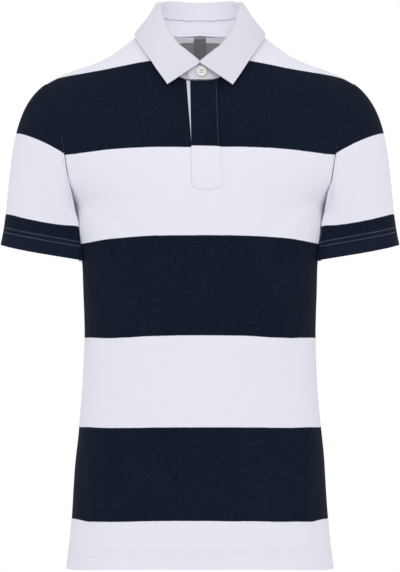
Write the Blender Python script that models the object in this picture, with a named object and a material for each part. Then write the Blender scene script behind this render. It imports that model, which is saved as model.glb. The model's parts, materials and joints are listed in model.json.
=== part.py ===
"""A short-sleeved polo shirt with a woven collar, filled out as it is when worn, with nobody in it.

Metres, +Z up. The shirt faces -Y, and +X is the wearer's left. The origin is the middle of the neck at the
height of the shoulder tops, where the wearer's shoulders carry it. Every piece is a thin wall of cloth: its
outer face is worked out first, as a net of points on the shirt's form, and the wall is that face thickened
inwards. The form is a stack of rounded rings up to the armpits, drawn in over a rounded shoulder ridge.
"""

import functools
import math
from collections import namedtuple

import bpy
from mathutils import Matrix, Vector

# ---- driving sizes, in metres ------------------------------------------------------------------------------

CLOTH = 0.0012  # heavy jersey
HEM_CLOTH = 0.0022  # the same, turned up double
COLLAR_CLOTH = 0.0016  # two layers of twill with a stiffener
TAPE_CLOTH = 0.001
SEAM_GAP = 0.0003
LAID_ON_GAP = 0.0005  # between a piece and the panel that it lies on

HEM_Z = -0.704
HEM_DEPTH = 0.026
SIDE_DIP = 0.0065  # how much lower the level lines of the cloth run at the side seams than at the centre
ARMPIT_Z = -0.240
PLACKET_FOOT_Z = -0.221
PLACKET_BOX_Z = -0.205  # the row of stitches across the placket, where the slit under it ends

RING_SQUARENESS = 2.4  # exponent of the rings: 2 is an ellipse, more is squarer
ARMPIT_X = 0.168
ARMHOLE_HOLLOW = 0.82  # how far the armhole swings in from a straight line between the armpit and the tip
TIP_X = 0.2033  # shoulder tip, where the sleeve is sewn on
TIP_Z = -0.072

NECK_HALF_WIDTH = 0.062
NECK_SEAM_Y = -0.022  # where the shoulder seam meets the neck, a little in front of the ridge
TIP_SEAM_Y = -0.010
NECK_FRONT = 0.059  # reach of the neck hole in front of the shoulder seams, and behind them
NECK_BACK = 0.0785
NECK_FRONT_SQUARENESS = 2.5
NECK_BACK_SQUARENESS = 2.5

Ring = namedtuple("Ring", "height half_width front back")
RINGS = (
    Ring(-0.710, 0.1765, 0.1245, 0.1225),
    Ring(-0.640, 0.1685, 0.1220, 0.1180),
    Ring(-0.570, 0.1640, 0.1190, 0.1130),
    Ring(-0.520, 0.1592, 0.1175, 0.1105),
    Ring(-0.460, 0.1543, 0.1165, 0.1090),
    Ring(-0.400, 0.1523, 0.1175, 0.1110),
    Ring(-0.340, 0.1540, 0.1205, 0.1160),
    Ring(-0.312, 0.1555, 0.1222, 0.1190),
    Ring(-0.290, 0.1600, 0.1235, 0.1210),
    Ring(-0.265, 0.1652, 0.1246, 0.1234),
    Ring(ARMPIT_Z, ARMPIT_X, 0.1255, 0.1255),
    Ring(-0.200, 0.1960, 0.1260, 0.1285),
    Ring(-0.150, 0.2080, 0.1240, 0.1290),
    Ring(-0.100, 0.2120, 0.1180, 0.1270),
    Ring(-0.050, 0.2140, 0.1150, 0.1250),
    Ring(0.030, 0.2140, 0.1150, 0.1250),
)

Ridge = namedtuple("Ridge", "x height")
RIDGES = (
    Ridge(0.000, 0.0120),
    Ridge(0.062, 0.0055),
    Ridge(0.086, -0.0112),
    Ridge(0.103, -0.0247),
    Ridge(0.118, -0.0353),
    Ridge(0.140, -0.0459),
    Ridge(0.171, -0.0570),
    Ridge(TIP_X, TIP_Z),
    Ridge(0.215, -0.0800),
)

# How the cloth turns over the ridge: the drop over which it turns, and the exponent of the turn.
Turn = namedtuple("Turn", "x front_drop front_round back_drop back_round")
TURNS = (
    Turn(0.00, 0.200, 1.50, 0.130, 2.0),
    Turn(0.02, 0.199, 1.505, 0.130, 2.0),
    Turn(0.06, 0.178, 1.62, 0.130, 2.0),
    Turn(0.10, 0.160, 1.72, 0.125, 2.0),
    Turn(0.15, 0.125, 1.86, 0.110, 2.0),
    Turn(0.20, 0.090, 2.00, 0.090, 2.0),
    Turn(0.22, 0.080, 2.00, 0.080, 2.0),
)

# Soft folds, each a shallow trough (or a ridge, where depth is negative) along a straight line on one face.
Fold = namedtuple("Fold", "x_top z_top x_foot z_foot width depth")
FRONT_FOLDS = (
    Fold(0.136, -0.222, 0.072, -0.300, 0.016, 0.0028),
    Fold(-0.136, -0.222, -0.072, -0.300, 0.016, 0.0028),
    Fold(0.122, -0.330, 0.128, -0.600, 0.022, 0.0020),
    Fold(-0.122, -0.350, -0.130, -0.580, 0.024, 0.0022),
    Fold(0.062, -0.600, 0.064, -0.720, 0.016, 0.0024),
    Fold(-0.064, -0.610, -0.062, -0.720, 0.017, 0.0022),
    Fold(0.000, -0.560, 0.000, -0.700, 0.040, -0.0020),
)
BACK_FOLDS = (
    Fold(0.128, -0.225, 0.058, -0.330, 0.020, 0.0045),
    Fold(-0.128, -0.225, -0.054, -0.345, 0.020, 0.0040),
    Fold(0.100, -0.330, 0.108, -0.600, 0.026, 0.0040),
    Fold(-0.106, -0.340, -0.100, -0.610, 0.025, 0.0045),
    Fold(0.030, -0.380, 0.040, -0.690, 0.022, 0.0032),
    Fold(-0.038, -0.400, -0.046, -0.700, 0.024, 0.0035),
)

# Sleeve, as the left one: the cuff's ring and how the cloth leaves the armhole for it.
CUFF_CENTRE = Vector((0.2062, 0.004, -0.2945))
CUFF_HALF_WIDTH = 0.0583
CUFF_INNER_WIDTH = 0.0690  # towards the body, where the cuff is squarer and lies along the side
CUFF_HALF_DEPTH = 0.0560
CUFF_SQUARENESS = 4.4
CUFF_RISE_OUT = math.radians(9.4)  # outer edge above the inner one
CUFF_RISE_BACK = math.radians(5.0)
CUFF_FLARE = 0.24
CAP_OUT = Vector((0.82, 0.0, -0.57))  # direction of the cloth at the shoulder tip
UNDERARM_OUT = Vector((-0.10, 0.0, -0.99))
CAP_PULL = 0.325  # shares of a meridian's span that its two ends steer
CUFF_PULL = 0.34
CAP_PUFF = 0.22  # how far the cap swells to the front and back
SLEEVE_CLEARANCE = 0.0027  # outside the body's side
SLEEVE_FREE_Z = -0.150  # above this the sleeve stands away from the body
SLEEVE_TUCK = 0.0085  # how far its front comes in over the body's side, below the height that follows
SLEEVE_TUCK_Z = -0.190

# Collar sections, from the centre front (0) round to the centre back (1), measured from the neck seam.
CollarSection = namedtuple("CollarSection", "along stand_height roll_height lean_in")
COLLAR_SECTIONS = (
    CollarSection(0.00, 0.0195, 0.0228, 0.0020),
    CollarSection(0.05, 0.0225, 0.0330, 0.0035),
    CollarSection(0.10, 0.0230, 0.0390, 0.0055),
    CollarSection(0.18, 0.0230, 0.0400, 0.0080),
    CollarSection(0.25, 0.0225, 0.0380, 0.0090),
    CollarSection(0.45, 0.0205, 0.0340, 0.0100),
    CollarSection(0.58, 0.0175, 0.0285, 0.0085),
    CollarSection(0.72, 0.0155, 0.0335, 0.0060),
    CollarSection(0.80, 0.0180, 0.0408, 0.0050),
    CollarSection(0.90, 0.0215, 0.0450, 0.0035),
    CollarSection(1.00, 0.0215, 0.0443, 0.0030),
    CollarSection(1.10, 0.0215, 0.0450, 0.0035),
)
LeafEdge = namedtuple("LeafEdge", "along x y z")
LEAF_EDGE = (
    LeafEdge(0.00, 0.0418, -0.0900, -0.0843),
    LeafEdge(0.15, 0.0585, -0.0770, -0.0600),
    LeafEdge(0.30, 0.0722, -0.0540, -0.0362),
    LeafEdge(0.41, 0.0800, -0.0280, -0.0205),
    LeafEdge(0.52, 0.0826, 0.0040, -0.0090),
    LeafEdge(0.66, 0.0770, 0.0380, -0.0045),
    LeafEdge(0.82, 0.0490, 0.0680, -0.0040),
    LeafEdge(1.00, 0.0000, 0.0800, -0.0050),
    LeafEdge(1.18, -0.0490, 0.0680, -0.0040),
)
FOLD_RADIUS = 0.0027  # of the leaf's outer face where it turns over
STAND_LIFT = 0.0007  # of its foot over the neck's edge, which is straight between the net's columns
STAND_OVERLAP = 0.0021  # how far the buttoned end of the stand stands off the other
OVERLAP_RUN = 0.16  # share of the half neck over which it comes forward
STAND_OVER_END = -0.0156  # x of the two ends of the stand
STAND_UNDER_END = 0.0120
LEAF_OVER_BODY = 0.0032
LEAF_START_GAP = 0.0007  # half the slit between the two leaves at the centre front
FRONT_EDGE_RUN = 0.12  # share of the half neck over which the leaf's front edge is drawn straight

PlacketEdge = namedtuple("PlacketEdge", "top foot")
PLACKET_FREE_EDGE = PlacketEdge(-0.0127, -0.0103)  # comes to lie over the slit's edge low down
SLIT_LEFT = PlacketEdge(-0.0180, -0.0079)
UNDER_MIDDLE = PlacketEdge(-0.0110, -0.0045)
PLACKET_INNER = PlacketEdge(-0.0040, -0.0010)
SLIT_RIGHT = PlacketEdge(0.0045, 0.0060)
PLACKET_MIDDLE = PlacketEdge(0.0140, 0.0170)
PLACKET_SEWN_EDGE = PlacketEdge(0.0232, 0.0276)
PLACKET_CORNER = 0.005
PLACKET_TOP_DROP = 0.0017  # its end below the neck seam, which clears the stand's lap
UNDER_TOP_DROP = 0.0010

BUTTON_RADIUS = 0.0069
BUTTON_THICKNESS = 0.0024
BUTTON_X = 0.0018
BUTTON_HEIGHT = 0.0108  # of its centre above the neck seam
BUTTON_HOLE_RADIUS = 0.0009
BUTTON_HOLE_PITCH = 0.0030
BUTTON_DISH = 0.0007

TAPE_WIDTH = 0.0044
TAPE_FOOT = 0.0008  # its lower edge above the neck seam
TAPE_REACH = 3  # collar sections to each side of the centre back
TAPE_DIP = 0.0055  # how much lower its ends are than its middle, so that it looks level from the front
LABEL_HALF_WIDTH = 0.008
LABEL_LENGTH = 0.052

# Counts of rows and columns in the nets of points.
ROWS_BELOW_ARMPIT = 14
ROWS_ABOVE_BOX = 8
SHOULDER_COLUMNS = 7
SLEEVE_RINGS = 7
COLLAR_SIDE_SECTIONS = 14

NAVY = (0.012, 0.017, 0.032, 1.0)
WHITE = (0.80, 0.80, 0.86, 1.0)
SHELL = (0.78, 0.79, 0.76, 1.0)
GREY = (0.12, 0.12, 0.13, 1.0)


# ---- small tools -------------------------------------------------------------------------------------------


def ease(share):
    """0 to 1 with no corner at either end."""
    share = min(1.0, max(0.0, share))
    return share * share * (3 - 2 * share)


def curve(rows, key, value):
    """A smooth curve through one column of a table against another, which never overshoots its rows."""
    xs = [getattr(row, key) for row in rows]
    ys = [getattr(row, value) for row in rows]
    steps = [b - a for a, b in zip(xs, xs[1:])]
    grades = [(b - a) / step for a, b, step in zip(ys, ys[1:], steps)]
    slopes = [grades[0]]
    for before, after in zip(grades, grades[1:]):
        slopes.append(0.0 if before * after <= 0 else 2 * before * after / (before + after))
    slopes.append(grades[-1])

    def at(x):
        x = min(xs[-1], max(xs[0], x))
        i = next((k for k in range(len(steps)) if x <= xs[k + 1]), len(steps) - 1)
        t = (x - xs[i]) / steps[i]
        rise = ys[i] * (1 + 2 * t) * (1 - t) ** 2 + ys[i + 1] * t * t * (3 - 2 * t)
        return rise + steps[i] * (slopes[i] * t * (1 - t) ** 2 - slopes[i + 1] * t * t * (1 - t))

    return at


def evenly(points, count):
    """count + 1 points at equal steps along a polyline."""
    lengths = [0.0]
    for a, b in zip(points, points[1:]):
        lengths.append(lengths[-1] + (b - a).length)
    found, i = [], 0
    for k in range(count + 1):
        want = lengths[-1] * k / count
        while i < len(points) - 2 and lengths[i + 1] < want:
            i += 1
        span = lengths[i + 1] - lengths[i]
        share = 0.0 if span == 0 else (want - lengths[i]) / span
        found.append(points[i].lerp(points[i + 1], min(1.0, share)))
    return found


def bezier(a, b, c, d, t):
    """Point t of the way along a cubic with these four control points."""
    s = 1 - t
    return a * s**3 + b * 3 * s * s * t + c * 3 * s * t * t + d * t**3


# ---- the form ----------------------------------------------------------------------------------------------

ring_half_width = curve(RINGS, "height", "half_width")
ring_front = curve(RINGS, "height", "front")
ring_back = curve(RINGS, "height", "back")
ridge_height = curve(RIDGES, "x", "height")
front_drop = curve(TURNS, "x", "front_drop")
front_round = curve(TURNS, "x", "front_round")
back_drop = curve(TURNS, "x", "back_drop")
back_round = curve(TURNS, "x", "back_round")


def turn(x, back):
    """The drop and the roundness with which the cloth turns over the shoulder ridge at x."""
    x = abs(x)
    return (back_drop(x), back_round(x)) if back else (front_drop(x), front_round(x))


def ring_depth(x, z, back):
    """How far the ring at height z reaches in front of, or behind, the shoulder line at x."""
    reach = ring_back(z) if back else ring_front(z)
    share = abs(x) / ring_half_width(z)
    if share > 0.99999:
        return 0.0
    return reach * (1 - share**RING_SQUARENESS) ** (1 / RING_SQUARENESS)


def fold_depth(x, z, back):
    """How far the soft folds draw the cloth in at this place."""
    total = 0.0
    for fold in BACK_FOLDS if back else FRONT_FOLDS:
        run_x, run_z = fold.x_foot - fold.x_top, fold.z_foot - fold.z_top
        length = math.hypot(run_x, run_z)
        along = ((x - fold.x_top) * run_x + (z - fold.z_top) * run_z) / length**2
        across = ((x - fold.x_top) * run_z - (z - fold.z_top) * run_x) / length
        fade = ease(2.5 * (along + 0.1)) * ease(2.5 * (1.1 - along))
        total += fold.depth * fade * math.exp(-((across / fold.width) ** 2))
    return total


def wall_y(x, z, back):
    """y of the cloth's outer face at this place on the front or the back."""
    drop, roundness = turn(x, back)
    fallen = min(1.0, max(0.0, (ridge_height(abs(x)) - z) / drop))
    swell = (1 - (1 - fallen) ** roundness) ** (1 / roundness)
    depth = ring_depth(x, z, back) * swell
    depth -= min(fold_depth(x, z, back), 0.06 * depth)
    return depth if back else -depth


def height(x, y):
    """z of the outer face above a point of the plan, near the shoulders; very low past the chest or back."""
    back = y > 0
    drop, roundness = turn(x, back)
    z = ridge_height(abs(x))
    for _ in range(14):
        swell = abs(y) / max(1e-6, ring_depth(x, z, back))
        if swell >= 1:
            return -1.0
        z = ridge_height(abs(x)) - drop * (1 - (1 - swell**roundness) ** (1 / roundness))
    return z


def lift_off_body(point, clearance):
    """The point, moved out along the body's normal where it is nearer to the body than the clearance."""
    step = 0.0015
    for _ in range(3):
        x, y, z = point
        top = height(x, y)
        if top < -0.5:
            return point
        slope_x = (height(x + step, y) - height(x - step, y)) / (2 * step)
        slope_y = (height(x, y + step) - height(x, y - step)) / (2 * step)
        slope_x, slope_y = (max(-6.0, min(6.0, slope)) for slope in (slope_x, slope_y))
        steepness = math.sqrt(1 + slope_x**2 + slope_y**2)
        short = top + clearance * steepness - z
        if short <= 0:
            return point
        point = point + Vector((-slope_x, -slope_y, 1.0)) * (short / steepness**2)
    return point


def edge_x(z):
    """Half width of a body panel at height z: to the side seam, and above it to the armhole."""
    if z <= ARMPIT_Z:
        return ring_half_width(z)
    share = min(1.0, (z - ARMPIT_Z) / (TIP_Z - ARMPIT_Z))
    share -= ARMHOLE_HOLLOW * share * (1 - share)
    return ARMPIT_X + (TIP_X - ARMPIT_X) * share


def seam_y(x):
    """y of the shoulder seam, which lies a little in front of the ridge."""
    share = (abs(x) - NECK_HALF_WIDTH) / (TIP_X - NECK_HALF_WIDTH)
    return NECK_SEAM_Y + (TIP_SEAM_Y - NECK_SEAM_Y) * share


def neck_y(x, back):
    """y of the neck hole's edge in plan."""
    share = min(1.0, abs(x) / NECK_HALF_WIDTH)
    if back:
        return NECK_SEAM_Y + NECK_BACK * (1 - share**NECK_BACK_SQUARENESS) ** (1 / NECK_BACK_SQUARENESS)
    return NECK_SEAM_Y - NECK_FRONT * (1 - share**NECK_FRONT_SQUARENESS) ** (1 / NECK_FRONT_SQUARENESS)


# ---- nets of points on the body ----------------------------------------------------------------------------

Column = namedtuple("Column", "share top_x foot_x")
BLEND_LOW_Z = -0.380  # the columns drift from even spacing low down to their own places above
BLEND_HIGH_Z = PLACKET_FOOT_Z
NECK_CORNER_FOOT = 0.078  # x that the column from the neck's corner has reached when it is fanned out
FAN_DROP = 0.1285  # height over which the columns fan out, as long as the slit


def even_shares(count):
    """Shares of the half width that split a quarter ring into equal lengths."""
    z = 0.5 * (HEM_Z + ARMPIT_Z)
    half, samples = ring_half_width(z), 400
    quarter = []
    for k in range(samples + 1):
        x = half * math.sin(0.5 * math.pi * k / samples)
        quarter.append(Vector((x, ring_depth(x, z, False), 0.0)))
    return [point.x / half for point in evenly(quarter, count)]


def columns_through(neck_columns):
    """Columns from the right edge to the left one; neck_columns are those that end at the neck, as (top_x, foot_x)."""
    shoulder = [
        NECK_HALF_WIDTH + (TIP_X - NECK_HALF_WIDTH) * k / SHOULDER_COLUMNS
        for k in range(1, SHOULDER_COLUMNS + 1)
    ]
    places = [(-x, -x) for x in reversed(shoulder)] + list(neck_columns) + [(x, x) for x in shoulder]
    last = len(places) - 1
    fine = even_shares(last)
    columns = []
    for k, (top_x, foot_x) in enumerate(places):
        across = 2 * k - last
        columns.append(Column(math.copysign(fine[abs(across)], across), top_x, foot_x))
    return columns


@functools.cache
def column_top(x, back):
    """Height of the neck's edge at x."""
    return height(x, neck_y(x, back))


def column_x(column, z, back):
    """x of a column of the net at height z; the columns fan out below the neck."""
    edge = edge_x(z)
    top = abs(column.top_x)
    down = min(1.0, max(0.0, (column_top(min(top, NECK_HALF_WIDTH), back) - z) / FAN_DROP))
    if top > NECK_HALF_WIDTH:
        corner = NECK_HALF_WIDTH + (NECK_CORNER_FOOT - NECK_HALF_WIDTH) * down
        stretch = (edge - corner) / (TIP_X - NECK_HALF_WIDTH)
        upper = math.copysign(corner + (top - NECK_HALF_WIDTH) * stretch, column.top_x)
    else:
        upper = column.top_x + (column.foot_x - column.top_x) * down
    blend = ease((z - BLEND_LOW_Z) / (BLEND_HIGH_Z - BLEND_LOW_Z))
    return (1 - blend) * column.share * edge + blend * upper


def column_point(column, z, back):
    x = column_x(column, z, back)
    low = z - SIDE_DIP * ease((ARMPIT_Z - z) / 0.2) * abs(x / edge_x(z)) ** 3
    return Vector((x, wall_y(x, z, back), low))


def upper_path(column, back):
    """Close points up a column from the placket's foot box to the neck or the shoulder seam."""
    at_neck = abs(column.top_x) <= NECK_HALF_WIDTH
    end_y = neck_y(column.top_x, back) if at_neck else seam_y(column.top_x)
    end_z = height(column.top_x, end_y)
    switch_z = ridge_height(abs(column.top_x)) - 0.3 * turn(column.top_x, back)[0]
    if at_neck and end_z < switch_z:
        switch_z = end_z
    points = []
    for k in range(25):
        points.append(column_point(column, PLACKET_BOX_Z + (switch_z - PLACKET_BOX_Z) * k / 24, back))
    start_y, z = points[-1].y, switch_z
    for k in range(1, 33):
        y = start_y + (end_y - start_y) * k / 32
        for _ in range(3):
            x = column_x(column, z, back)
            z = height(x, y)
        points.append(Vector((x, y, z)))
    return points


def body_net(columns, back):
    """Rows of points from the hem up, each row from the wearer's right to the left."""
    levels = [
        HEM_Z + (ARMPIT_Z - HEM_Z) * share
        for share in [0.0, HEM_DEPTH / (ARMPIT_Z - HEM_Z)]
        + [k / ROWS_BELOW_ARMPIT for k in range(2, ROWS_BELOW_ARMPIT + 1)]
    ] + [PLACKET_FOOT_Z, PLACKET_BOX_Z]
    rows = [[column_point(column, z, back) for column in columns] for z in levels]
    tops = [evenly(upper_path(column, back), ROWS_ABOVE_BOX) for column in columns]
    rows += [[top[k] for top in tops] for k in range(1, ROWS_ABOVE_BOX + 1)]
    return rows


def split(a, b, c, d):
    """A quad's two triangles. A piece laid on a panel is split as the panel is, so they stay parallel."""
    return [(a, b, c), (a, c, d)]


def net_faces(rows, left_out=()):
    """Triangles of a net of points, as indices, without the cells left out; mirrored about x = 0."""
    width, faces = len(rows[0]), []
    for r in range(len(rows) - 1):
        for c in range(width - 1):
            if (r, c) not in left_out:
                a, b = r * width + c, (r + 1) * width + c
                if rows[r][c].x + rows[r][c + 1].x > -1e-6:
                    faces += split(a, a + 1, b + 1, b)
                else:
                    faces += split(a + 1, b + 1, b, a)
    return faces


def joint_normals(nets):
    """Normals of several nets, each (rows, faces), shared where their points meet.

    A normal is a little longer than 1 where the faces round it turn, so that a wall made along it keeps its
    thickness as a mitre does.
    """

    def key(point):
        return tuple(round(value, 6) for value in point)

    around = {}
    flat = [[point for row in rows for point in row] for rows, _ in nets]
    for points, (_, faces) in zip(flat, nets):
        for face in faces:
            corners = [points[i] for i in face]
            normal = (corners[1] - corners[0]).cross(corners[2] - corners[0]).normalized()
            for k in range(3):
                sides = corners[k - 1] - corners[k], corners[(k + 1) % 3] - corners[k]
                around.setdefault(key(corners[k]), []).append((sides[0].angle(sides[1], 0.0), normal))

    def mitre(point):
        shares = around.get(key(point))
        if not shares:
            return Vector((0.0, 0.0, 1.0))
        normal = sum((face * angle for angle, face in shares), Vector()).normalized()
        total = sum(angle for angle, _ in shares)
        return normal / max(0.6, sum(angle * normal.dot(face) for angle, face in shares) / total)

    return [[mitre(point) for point in points] for points in flat]


def drawn_in(rows, sides, gap):
    """The rows with the named sides moved into the net by the gap: left, right, foot or top."""
    rows = [[point.copy() for point in row] for row in rows]
    for row in rows:
        if "left" in sides:
            row[0] += (row[1] - row[0]).normalized() * gap
        if "right" in sides:
            row[-1] += (row[-2] - row[-1]).normalized() * gap
    for c in range(len(rows[0])):
        if "foot" in sides:
            rows[0][c] += (rows[1][c] - rows[0][c]).normalized() * gap
        if "top" in sides:
            rows[-1][c] += (rows[-2][c] - rows[-1][c]).normalized() * gap
    return rows


# ---- solids ------------------------------------------------------------------------------------------------


def material(name, colour, roughness):
    made = bpy.data.materials.new(name)
    made.use_nodes = True
    shader = made.node_tree.nodes["Principled BSDF"]
    shader.inputs["Base Color"].default_value = colour
    shader.inputs["Roughness"].default_value = roughness
    shader.inputs["Metallic"].default_value = 0.0
    return made


def add_object(name, points, faces, finish):
    mesh = bpy.data.meshes.new(name)
    mesh.from_pydata([tuple(point) for point in points], [], faces)
    mesh.validate()
    mesh.shade_smooth()
    mesh.set_sharp_from_angle(angle=math.radians(50))
    mesh.materials.append(finish)
    made = bpy.data.objects.new(name, mesh)
    bpy.context.scene.collection.objects.link(made)
    return made


def cloth_wall(name, points, normals, faces, thickness, finish, lift=0.0):
    """A closed wall of cloth: the outer face, lifted along its normals, the inner one, and the rim between."""
    if not hasattr(thickness, "__len__"):
        thickness = [thickness] * len(points)
    used = sorted({i for face in faces for i in face})
    place = {i: k for k, i in enumerate(used)}
    outer = [points[i] + normals[i] * lift for i in used]
    inner = [points[i] + normals[i] * (lift - thickness[i]) for i in used]
    count = len(used)
    shell = [tuple(place[i] for i in face) for face in faces]
    edges = {}
    for face in shell:
        for a, b in zip(face, face[1:] + face[:1]):
            edges[(a, b)] = True
    rim = []
    for a, b in edges:
        if (b, a) in edges:
            continue
        # Split from the higher end, so that the rims of two panels stay the same gap apart along a seam.
        if outer[a].z > outer[b].z:
            rim += [(b, a, b + count), (a, a + count, b + count)]
        else:
            rim += [(b, a, a + count), (b, a + count, b + count)]
    back = [tuple(i + count for i in reversed(face)) for face in shell]
    return add_object(name, outer + inner, shell + back + rim, finish)


def build_body(finish):
    """The front and back panels. Returns their nets, with the body's normals, for what is sewn to them."""
    neck_front = (
        [(-NECK_HALF_WIDTH, -NECK_CORNER_FOOT), (-0.0608, -0.0680), (-0.0545, -0.0570)]
        + [(-0.0430, -0.0440), (-0.0300, -0.0305)]
        + [SLIT_LEFT, UNDER_MIDDLE, PLACKET_INNER, SLIT_RIGHT, PLACKET_MIDDLE, PLACKET_SEWN_EDGE]
        + [(0.0340, 0.0380), (0.0440, 0.0480), (0.0545, 0.0580), (0.0608, 0.0680)]
        + [(NECK_HALF_WIDTH, NECK_CORNER_FOOT)]
    )
    half = [(NECK_HALF_WIDTH, NECK_CORNER_FOOT), (0.0600, 0.0680), (0.0535, 0.0560), (0.0410, 0.0410)]
    half += [(0.0250, 0.0250), (LABEL_HALF_WIDTH, LABEL_HALF_WIDTH)]
    neck_back = [(-top, -foot) for top, foot in half] + [(0.0, 0.0)] + list(reversed(half))
    front_columns = columns_through(neck_front)
    front = body_net(front_columns, back=False)
    back = [list(reversed(row)) for row in body_net(columns_through(neck_back), back=True)]
    for k in range(SHOULDER_COLUMNS + 1):  # the shoulder seams' points are shared to the last digit
        back[-1][k] = front[-1][-1 - k]
        back[-1][-1 - k] = front[-1][k]
    rows = len(front)
    box_row = ROWS_BELOW_ARMPIT + 2
    slit_columns = [c for c, column in enumerate(front_columns) if SLIT_LEFT.top <= column.top_x < SLIT_RIGHT.top]
    slit = {(r, c) for r in range(box_row, rows - 1) for c in slit_columns}
    front_faces = net_faces(front, slit)
    back_faces = net_faces(back)
    whole = net_faces(front)
    front_normals, back_normals = joint_normals([(front, whole), (back, back_faces)])
    for name, net, faces, normals in (
        ("front_panel", front, front_faces, front_normals),
        ("back_panel", back, back_faces, back_normals),
    ):
        parted = drawn_in(net, ("left", "right", "top"), 0.5 * SEAM_GAP)
        points = [point for row in parted for point in row]
        thickness = [HEM_CLOTH if r < 2 else CLOTH for r, row in enumerate(parted) for _ in row]
        cloth_wall(name, points, normals, faces, thickness, finish)
    return front, back, front_normals, back_normals, slit_columns


def build_plackets(front, normals, slit_columns, white, striped):
    """The white strip let into the slit, flush with the front, and the striped one that covers it."""
    width, box_row = len(front[0]), ROWS_BELOW_ARMPIT + 2

    def part_of(first_row, first, last):
        rows = [row[first : last + 1] for row in front[first_row:]]
        found = [normals[r * width + c] for r in range(first_row, len(front)) for c in range(first, last + 1)]
        return rows, found

    first, last = slit_columns[0], slit_columns[-1] + 1
    rows, found = part_of(box_row, first, last)
    rows = drawn_in(drawn_in(rows, ("left", "right", "foot"), SEAM_GAP), ("top",), UNDER_TOP_DROP)
    points = [point for row in rows for point in row]
    cloth_wall("placket_under", points, found, net_faces(rows), CLOTH, white)

    inner = slit_columns[-1]  # the column of PLACKET_INNER
    rows, found = part_of(box_row - 1, inner, inner + 3)
    found = [found[k : k + 4] for k in range(0, len(found), 4)]
    neck_z = column_top(PLACKET_FREE_EDGE.top, False)
    for k, r in enumerate(range(box_row - 1, len(front))):
        down = min(1.0, max(0.0, (neck_z - front[r][first].z) / FAN_DROP))
        free_x = PLACKET_FREE_EDGE.top + (PLACKET_FREE_EDGE.foot - PLACKET_FREE_EDGE.top) * down
        c = next(c for c in range(first - 1, inner) if free_x <= front[r][c + 1].x)
        share = (free_x - front[r][c].x) / (front[r][c + 1].x - front[r][c].x)
        rows[k].insert(0, front[r][c].lerp(front[r][c + 1], share))
        found[k].insert(0, normals[r * width + c].lerp(normals[r * width + c + 1], share))
    found = [normal for row in found for normal in row]
    rows = drawn_in(rows, ("top",), PLACKET_TOP_DROP)
    for c in (0, -1):
        rows[0][c] += (rows[1][c] - rows[0][c]).normalized() * PLACKET_CORNER
    points = [point for row in rows for point in row]
    faces = net_faces(rows)
    cloth_wall("placket_over", points, found, faces, CLOTH, striped, lift=LAID_ON_GAP + CLOTH)


# ---- sleeves -----------------------------------------------------------------------------------------------


def armhole(front, back):
    """The left armhole's edge: up the front from the armpit to the shoulder seam, then down the back."""
    foot = ROWS_BELOW_ARMPIT
    up = [row[-1] for row in front[foot:]]
    down = [row[0] for row in reversed(back[foot:])]
    return up, down


def cuff_point(angle):
    """Point of the cuff's edge: 0 at the body, a quarter turn at the front, a half turn outside."""
    out = Vector((math.cos(CUFF_RISE_OUT), 0.0, math.sin(CUFF_RISE_OUT)))
    behind = Vector((0.0, math.cos(CUFF_RISE_BACK), math.sin(CUFF_RISE_BACK)))
    inward, forward = math.cos(angle), math.sin(angle)
    if inward > 0:
        power = 2 / CUFF_SQUARENESS
        forward = math.copysign(abs(forward) ** power, forward)
        return CUFF_CENTRE - out * (CUFF_INNER_WIDTH * inward**power) - behind * (CUFF_HALF_DEPTH * forward)
    return CUFF_CENTRE - out * (CUFF_HALF_WIDTH * inward) - behind * (CUFF_HALF_DEPTH * forward)


def clear_of_side(point, clearance, hold):
    """A sleeve's point, kept outside the body's ring at its height by the share that hold gives."""
    if point.z > SLEEVE_FREE_Z:
        return point
    reach = ring_back(point.z) if point.y > 0 else ring_front(point.z)
    spread = (abs(point.x) / ring_half_width(point.z)) ** RING_SQUARENESS
    spread += (abs(point.y) / reach) ** RING_SQUARENESS
    scale = (1 + clearance / math.hypot(point.x, point.y)) * spread ** (-1 / RING_SQUARENESS)
    scale = 1 + max(0.0, scale - 1) * ease((SLEEVE_FREE_Z - point.z) / 0.035) * hold
    return Vector((point.x * scale, point.y * scale, point.z))


def sleeve_meridian(start, angle, shares):
    """Points from the armhole to the cuff at one angle round the sleeve."""
    end = cuff_point(angle)
    height_share = 0.5 * (1 - math.cos(angle))
    leave = UNDERARM_OUT.lerp(CAP_OUT, height_share**1.7)
    leave = leave + Vector((0.0, -math.sin(angle), 0.0)) * CAP_PUFF
    arrive = Vector((0.0, 0.0, -1.0)) + (end - CUFF_CENTRE).normalized() * CUFF_FLARE
    span = (end - start).length
    near = start + leave.normalized() * span * CAP_PULL
    far = end - arrive.normalized() * span * CUFF_PULL
    points = []
    for share in shares:
        share = max(share, SEAM_GAP / (3 * CAP_PULL * span))
        clearance = SEAM_GAP + (SLEEVE_CLEARANCE - SEAM_GAP) * min(1.0, share * span / 0.012)
        near_seam = 1 - min(1.0, share * span / 0.012)
        hold = 1 - near_seam * ease((start.z - ARMPIT_Z) / 0.030)
        point = clear_of_side(bezier(start, near, far, end, share), clearance, hold)
        tuck = SLEEVE_TUCK * ease((SLEEVE_TUCK_Z - point.z) / 0.075)
        points.append(Vector((max(point.x, edge_x(point.z) - tuck), point.y, point.z)))
    return points


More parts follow.
